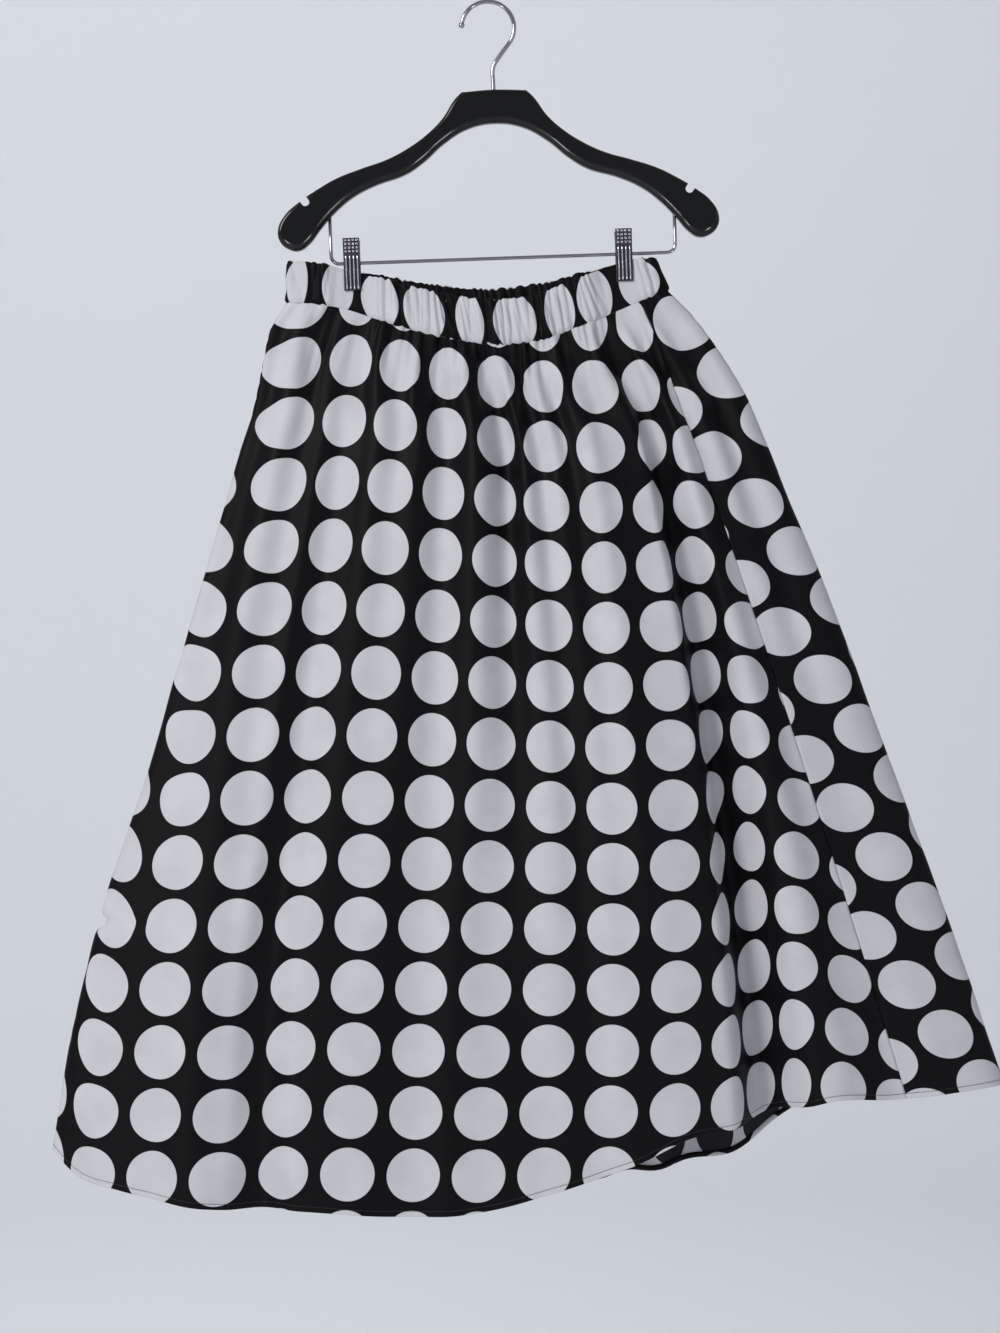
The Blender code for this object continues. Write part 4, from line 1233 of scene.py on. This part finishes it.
class HANGER_OT_add_wood(bpy.types.Operator):
    """Add the lacquered wooden body with its rounded edges and its two notches"""

    bl_idname = "hanger.add_wood"
    bl_label = "Add wooden hanger"

    def execute(self, context):
        settings = context.scene.skirt_hanger
        points = hanger_outline()
        along = np.roll(points, -1, axis=0) - np.roll(points, 1, axis=0)
        along /= np.linalg.norm(along, axis=1, keepdims=True)
        inner = np.stack([along[:, 1], -along[:, 0]], axis=1)
        broad = BACK_ROUNDING + BROADER_BELOW * eased((inner[:, 1] + 0.15) / 0.9)
        profile = wood_profile(settings.wood_depth / MM)
        places = np.empty((len(profile), len(points) + 1, 3))
        for k, (share, out) in enumerate(profile):
            ring = points + inner * (broad * share)[:, None]
            ring = np.vstack([ring, ring[:1]])
            places[k] = np.column_stack([ring[:, 0], np.full(len(ring), out), ring[:, 1]])
        prints = np.zeros((*places.shape[:2], 2))
        wood = grid_object("hanger_wood", places, prints, [finishes()["lacquer"]])
        with opened(wood) as mesh:
            bmesh.ops.remove_doubles(mesh, verts=mesh.verts, dist=0.001)
            open_edges = [edge for edge in mesh.edges if edge.is_boundary]
            bmesh.ops.holes_fill(mesh, edges=open_edges, sides=0)
            for face in mesh.faces:
                face.smooth = len(face.verts) == 4
            bmesh.ops.recalc_face_normals(mesh, faces=mesh.faces)
        for direction in (-1, 1):
            cut_notch(wood, direction, settings.wood_depth / MM)
        with opened(wood) as mesh:
            on_hanger(mesh)
        belongs(wood, "lacquered_wood", "hanger_body")
        return {"FINISHED"}


def cut_notch(wood, direction, depth):
    """Cuts a round-ended slot through an arm, square to the arm's upper edge."""
    mesh = bmesh.new()
    bmesh.ops.create_cube(mesh, size=1)
    deep = depth + NOTCH_PAST_WOOD
    bmesh.ops.scale(mesh, verts=mesh.verts, vec=(NOTCH_WIDTH, deep, NOTCH_REACH))
    bmesh.ops.translate(mesh, verts=mesh.verts, vec=(0, 0, NOTCH_REACH / 2))
    lower = [edge for edge in mesh.edges if max(end.co.z for end in edge.verts) < NOTCH_REACH / 2]
    along = [edge for edge in lower if edge.calc_length() > deep / 2]
    bevelled(mesh, along, NOTCH_ROUNDING * NOTCH_WIDTH, 8)
    turn = Matrix.Rotation(direction * NOTCH_SLANT, 4, "Y")
    place = Matrix.Translation((WOOD_MIDDLE + direction * NOTCH_END[0], 0, NOTCH_END[1]))
    bmesh.ops.transform(mesh, matrix=place @ turn, verts=mesh.verts)
    bmesh.ops.recalc_face_normals(mesh, faces=mesh.faces)
    cutter = object_from("notch_cutter", mesh, [])
    cut = wood.modifiers.new("notch", "BOOLEAN")
    cut.operation = "DIFFERENCE"
    cut.object = cutter
    graph = bpy.context.evaluated_depsgraph_get()
    carved = bpy.data.meshes.new_from_object(wood.evaluated_get(graph))
    wood.modifiers.clear()
    wood.data = carved
    bpy.data.objects.remove(cutter)


def jaw_spot(across, up, out, facing):
    """A spot on a jaw's bent plate, at a height over its outer face."""
    away = through(JAW_FACE, "away", up) + JAW_THICKNESS + out
    return Vector((across, facing * float(away), BAR_HEIGHT + up))


def jaw_mesh(facing):
    """A sprung plate of a clip, flanged at its sides, with studs on its thumb end and ribs on its grip."""
    mesh = bmesh.new()
    half = CLIP_WIDTH / 2
    ups = np.linspace(JAW_FACE[0].up, JAW_FACE[-1].up, 40)
    section = [(-half, 1.0), (-half, 0.25), (-half + 0.12, 0.1), (-half + 0.4, 0.0)]
    section += [(x, 0.0) for x in np.linspace(-half + 1.6, half - 1.6, 7)]
    section += [(-x, deep) for x, deep in reversed(section[:4])]
    made = bmesh.ops.create_grid(mesh, x_segments=len(section) - 1, y_segments=len(ups) - 1, size=1)
    for point in made["verts"]:
        x, deep = section[round((point.co.x + 1) / 2 * (len(section) - 1))]
        up = ups[round((point.co.y + 1) / 2 * (len(ups) - 1))]
        step = THUMB_STEP * float(eased(up - THUMB_STARTS))
        flange = float(through(JAW_FACE, "flange", up))
        point.co = jaw_spot(x, up, step - deep * flange, facing)
    bmesh.ops.recalc_face_normals(mesh, faces=mesh.faces)
    middle = min(mesh.faces, key=lambda face: (face.calc_center_median() - jaw_spot(0, 0, 0, facing)).length)
    if middle.normal.y * facing < 0:
        bmesh.ops.reverse_faces(mesh, faces=mesh.faces)
    bmesh.ops.solidify(mesh, geom=mesh.faces, thickness=JAW_THICKNESS * PLATE_SHARE)
    plain = set(mesh.faces)
    columns = [(column - (STUD_COLUMNS - 1) / 2) * STUD_PITCH for column in range(STUD_COLUMNS)]
    for row in range(STUD_ROWS):
        for across in columns:
            add_stud(mesh, across, LOWEST_STUD + row * STUD_RISE, facing)
    for across in columns:
        add_rib(mesh, across, *RIB_ENDS, facing)
    # Plate faces take the chrome darkened as painted shade, studs and ribs the chrome paled as painted
    # highlight
    for face in mesh.faces:
        face.smooth = True
        face.material_index = 0 if face in plain else 1
    bmesh.ops.recalc_face_normals(mesh, faces=mesh.faces)
    return mesh


def add_stud(mesh, across, up, facing):
    """A low square stud pressed out of the plate."""
    plate = set(mesh.verts)
    square = Matrix.Rotation(math.pi / 4, 4, "Z")
    made = bmesh.ops.create_cone(
        mesh, cap_ends=True, segments=4, radius1=1.95, radius2=1.25, depth=1.3, matrix=square
    )
    edges = {edge for point in made["verts"] for edge in point.link_edges}
    bevelled(mesh, list(edges), 0.28, 2)
    for point in mesh.verts:
        if point not in plate:
            point.co = jaw_spot(across + point.co.x, up + point.co.y, 0.9 + point.co.z, facing)


def add_rib(mesh, across, low, high, facing):
    """An upright half-round rib with sunk ends."""
    made = bmesh.ops.create_grid(mesh, x_segments=8, y_segments=18, size=1)
    for point in made["verts"]:
        turn = point.co.x * math.pi / 2
        share = (point.co.y + 1) / 2
        ends = math.sqrt(max(1 - (2 * share - 1) ** 12, 0))
        height = 1.35 * math.cos(turn) * ends - 0.12
        point.co = Vector((0.80 * math.sin(turn), low + (high - low) * share, height))
    for point in made["verts"]:
        point.co = jaw_spot(across + point.co.x, point.co.y, point.co.z, facing)


class HANGER_OT_add_clips(bpy.types.Operator):
    """Add the two clips, each a pair of sprung plates round a coil on the bar"""

    bl_idname = "hanger.add_clips"
    bl_label = "Add clips"

    def execute(self, context):
        finish = finishes()
        for side, across in CLIP_PLACES.items():
            for facing, word in ((-1, "front"), (1, "back")):
                mesh = jaw_mesh(facing)
                bmesh.ops.translate(mesh, verts=mesh.verts, vec=(across, 0, 0))
                on_hanger(mesh)
                # First finish: chrome darkened as painted shade for the plate; second: the same chrome paled
                # as painted highlight for studs and ribs
                plate = object_from(f"{side}_clip_{word}_plate", mesh, [finish["plate"], finish["painted_highlight_studs"]])
                soften = plate.modifiers.new("edges", "BEVEL")
                soften.width = 0.00018
                soften.segments = 2
                soften.limit_method = "ANGLE"
                soften.angle_limit = math.radians(50)
                belongs(plate, "chromed_plate", f"clip_{side}_{word}_jaw")
            coil = wire_object(f"{side}_clip_spring", spring_path(across), SPRING_WIRE, finish["wire"])
            belongs(coil, "chromed_plate", f"clip_{side}_barrel")
        return {"FINISHED"}


def spring_path(across):
    """A coil of several turns round the bar."""
    path = []
    for share in np.linspace(0, 1, SPRING_TURNS * 14 + 1):
        turn = 2 * math.pi * SPRING_TURNS * share
        along = across - SPRING_LENGTH / 2 + SPRING_LENGTH * share
        path.append((along, SPRING_RADIUS * math.cos(turn), BAR_HEIGHT + SPRING_RADIUS * math.sin(turn)))
    return path


class SKIRT_OT_add_hem_stitching(bpy.types.Operator):
    """Add the line of stitches that holds the turned hem of each panel"""

    bl_idname = "skirt.add_hem_stitching"
    bl_label = "Add hem stitching"

    def execute(self, context):
        settings = context.scene.skirt_cloth
        finish = finishes()["thread"]
        for name in ("front", "back"):
            panel = bpy.data.objects[f"skirt_{name}_panel"]
            line, normal = stitch_line(panel, settings)
            stitches = stitch_mesh(line, normal)
            piece = object_from(f"hem_stitching_{name}", stitches, [finish])
            belongs(piece, "dotted_cloth")
        return {"FINISHED"}


def stitch_line(panel, settings):
    """Places and outward normals along the hem's stitching, from the panel's own mesh."""
    rows = len(panel.data.vertices) // PANEL_COLUMNS
    flat = np.empty(len(panel.data.vertices) * 3)
    panel.data.vertices.foreach_get("co", flat)
    order = flat.reshape(rows, PANEL_COLUMNS, 3)[::-1]
    normal = outwards(order)
    under, over = STITCH_STEPS
    turned_rows = 1 + len(HEM_TURN_SHARES)
    stitch_row = rows - turned_rows - len(HEM_STEPS) + HEM_STEPS[::-1].index(over)
    share = (over - settings.hem_stitch / MM) / (over - under)
    line = order[stitch_row] * (1 - share) + order[stitch_row + 1] * share
    return line, normal[stitch_row]


def stitch_mesh(line, normal, stitch=0.0029, around=6, steps=6, thick=0.00026):
    """Stitches as one thread that dips into the cloth between them."""
    length = row_lengths(line)
    count = int(length[-1] / stitch)
    at = np.linspace(0, length[-1], count * steps + 1)
    places = np.stack([np.interp(at, length, line[:, k]) for k in range(3)], axis=1)
    out = np.stack([np.interp(at, length, normal[:, k]) for k in range(3)], axis=1)
    along = np.gradient(places, axis=0)
    along /= np.linalg.norm(along, axis=1, keepdims=True)
    side = np.cross(along, out)
    share = (at / length[-1] * count) % 1
    arch = np.sin(math.pi * share) ** 0.5
    mesh = bmesh.new()
    made = bmesh.ops.create_grid(mesh, x_segments=len(at) - 1, y_segments=around, size=1)
    for point in made["verts"]:
        k = round((point.co.x + 1) / 2 * (len(at) - 1))
        turn = (point.co.y + 1) * math.pi
        thickness = thick * (0.45 + 0.55 * arch[k])
        ring = side[k] * math.cos(turn) + out[k] * math.sin(turn)
        point.co = places[k] + out[k] * (0.00022 * arch[k] - 0.0003 * (1 - arch[k])) + ring * thickness
    bmesh.ops.remove_doubles(mesh, verts=mesh.verts, dist=0.000001)
    bmesh.ops.recalc_face_normals(mesh, faces=mesh.faces)
    smoothed(mesh.faces)
    return mesh


class STAGE_OT_add_stage(bpy.types.Operator):
    """Add the floor with its curved rim, the lights, the sky and the camera"""

    bl_idname = "stage.add_stage"
    bl_label = "Add stage"

    def execute(self, context):
        settings = context.scene.skirt_stage
        add_floor(settings)
        add_lights(settings)
        add_camera(settings)
        return {"FINISHED"}


def add_floor(settings, reach=7.0, rim=2.4, wall=6.5):
    """A round pale floor that curves up all the way round."""
    made, tree, shader = new_finish("pale_floor")
    paler = [min(1.02 * part, 1) for part in settings.floor_colour]
    shade = mixed(tree, noise(tree, on_object(tree), 1.3, 2.0), settings.floor_colour, paler)
    dressed(tree, shader, Base_Color=shade, Roughness=0.9)
    low = settings.floor_height
    profile = [(0.0, low)] + [(x, low) for x in np.linspace(0.8, reach - rim, 6)]
    bend = np.radians(np.linspace(-90, 0, 14))[1:]
    profile += [(reach - rim + rim * math.cos(a), low + rim + rim * math.sin(a)) for a in bend]
    profile.append((reach, low + wall))
    mesh = bmesh.new()
    points = [mesh.verts.new((x, 0, z)) for x, z in profile]
    edges = [mesh.edges.new(pair) for pair in zip(points, points[1:])]
    bmesh.ops.spin(
        mesh,
        geom=points + edges,
        cent=(0, 0, 0),
        axis=(0, 0, 1),
        angle=2 * math.pi,
        steps=96,
        use_merge=True,
    )
    bmesh.ops.remove_doubles(mesh, verts=mesh.verts, dist=0.0001)
    bmesh.ops.recalc_face_normals(mesh, faces=mesh.faces)
    smoothed(mesh.faces)
    floor = object_from("pale_floor", mesh, [made])


def add_area_light(name, place, target, size, power, colour):
    light = bpy.data.lights.new(name, "AREA")
    light.shape = "DISK"
    light.size = size
    light.energy = power
    light.color = colour
    lamp = bpy.data.objects.new(name, light)
    lamp.location = place
    lamp.rotation_euler = (Vector(target) - Vector(place)).to_track_quat("-Z", "Y").to_euler()
    bpy.context.scene.collection.objects.link(lamp)


def add_lights(settings):
    middle = (0.0, 0.0, -0.65)
    add_area_light("key_light", (-2.5, -2.7, 1.3), middle, 1.8, settings.key_power, (1.0, 0.99, 0.97))
    add_area_light("fill_light", (2.8, -2.4, -0.2), middle, 2.4, settings.fill_power, (0.96, 0.97, 1.0))
    add_area_light("back_light", (0.6, 3.0, 1.2), middle, 2.4, settings.fill_power, (0.97, 0.98, 1.0))
    for side in (-1, 1):
        place = (1.5 * side, -2.3, -1.5)
        add_area_light("edge_light", place, (0.0, 0.0, -0.15), 0.45, settings.edge_power, (1.0, 1.0, 1.0))
    rim = (-0.8, 7.0, 0.9)
    add_area_light("wall_light", (-0.8, 1.6, 2.6), rim, 3.0, settings.wall_power, (0.97, 0.98, 1.0))
    world = bpy.data.worlds.new("pale_sky")
    world.use_nodes = True
    sky = world.node_tree.nodes["Background"]
    sky.inputs["Color"].default_value = (0.90, 0.92, 0.97, 1)
    sky.inputs["Strength"].default_value = 0.34
    bpy.context.scene.world = world
    bpy.context.scene.view_settings.view_transform = "Standard"


def add_camera(settings, across=0.0124, height=-0.6294, frame_height=1.266):
    """The photograph's view, level with the skirt's middle."""
    camera = bpy.data.cameras.new("photo_camera")
    camera.sensor_fit = "VERTICAL"
    camera.sensor_height = 36.0
    camera.lens = camera.sensor_height * settings.camera_distance / frame_height
    camera.clip_end = 60.0
    holder = bpy.data.objects.new("photo_camera", camera)
    holder.location = (across, -settings.camera_distance, height)
    holder.rotation_euler = (math.pi / 2, 0, 0)
    bpy.context.scene.collection.objects.link(holder)
    bpy.context.scene.camera = holder


class SKIRT_PT_pieces(bpy.types.Panel):
    """Lists the operators that make the skirt, its hanger and the stage"""

    bl_idname = "SKIRT_PT_pieces"
    bl_label = "Dotted skirt"
    bl_space_type = "VIEW_3D"
    bl_region_type = "UI"
    bl_category = "Skirt"

    def draw(self, context):
        for maker in OPERATORS:
            self.layout.operator(maker.bl_idname)


SETTINGS = (ClothSettings, HangerSettings, StageSettings)
OPERATORS = (
    SKIRT_OT_add_waistband,
    SKIRT_OT_add_panels,
    SKIRT_OT_add_hem_stitching,
    HANGER_OT_add_wood,
    HANGER_OT_add_wires,
    HANGER_OT_add_clips,
    STAGE_OT_add_stage,
)


def register():
    for kind in SETTINGS + OPERATORS + (SKIRT_PT_pieces,):
        bpy.utils.register_class(kind)
    bpy.types.Scene.skirt_cloth = PointerProperty(type=ClothSettings)
    bpy.types.Scene.skirt_hanger = PointerProperty(type=HangerSettings)
    bpy.types.Scene.skirt_stage = PointerProperty(type=StageSettings)


def unregister():
    del bpy.types.Scene.skirt_cloth
    del bpy.types.Scene.skirt_hanger
    del bpy.types.Scene.skirt_stage
    for kind in reversed(SETTINGS + OPERATORS + (SKIRT_PT_pieces,)):
        bpy.utils.unregister_class(kind)


def main():
    register()
    bpy.ops.skirt.add_waistband()
    bpy.ops.skirt.add_panels()
    bpy.ops.skirt.add_hem_stitching()
    bpy.ops.hanger.add_wood()
    bpy.ops.hanger.add_wires()
    bpy.ops.hanger.add_clips()
    bpy.ops.stage.add_stage()
    bpy.context.view_layer.update()


if __name__ == "__main__":
    main()
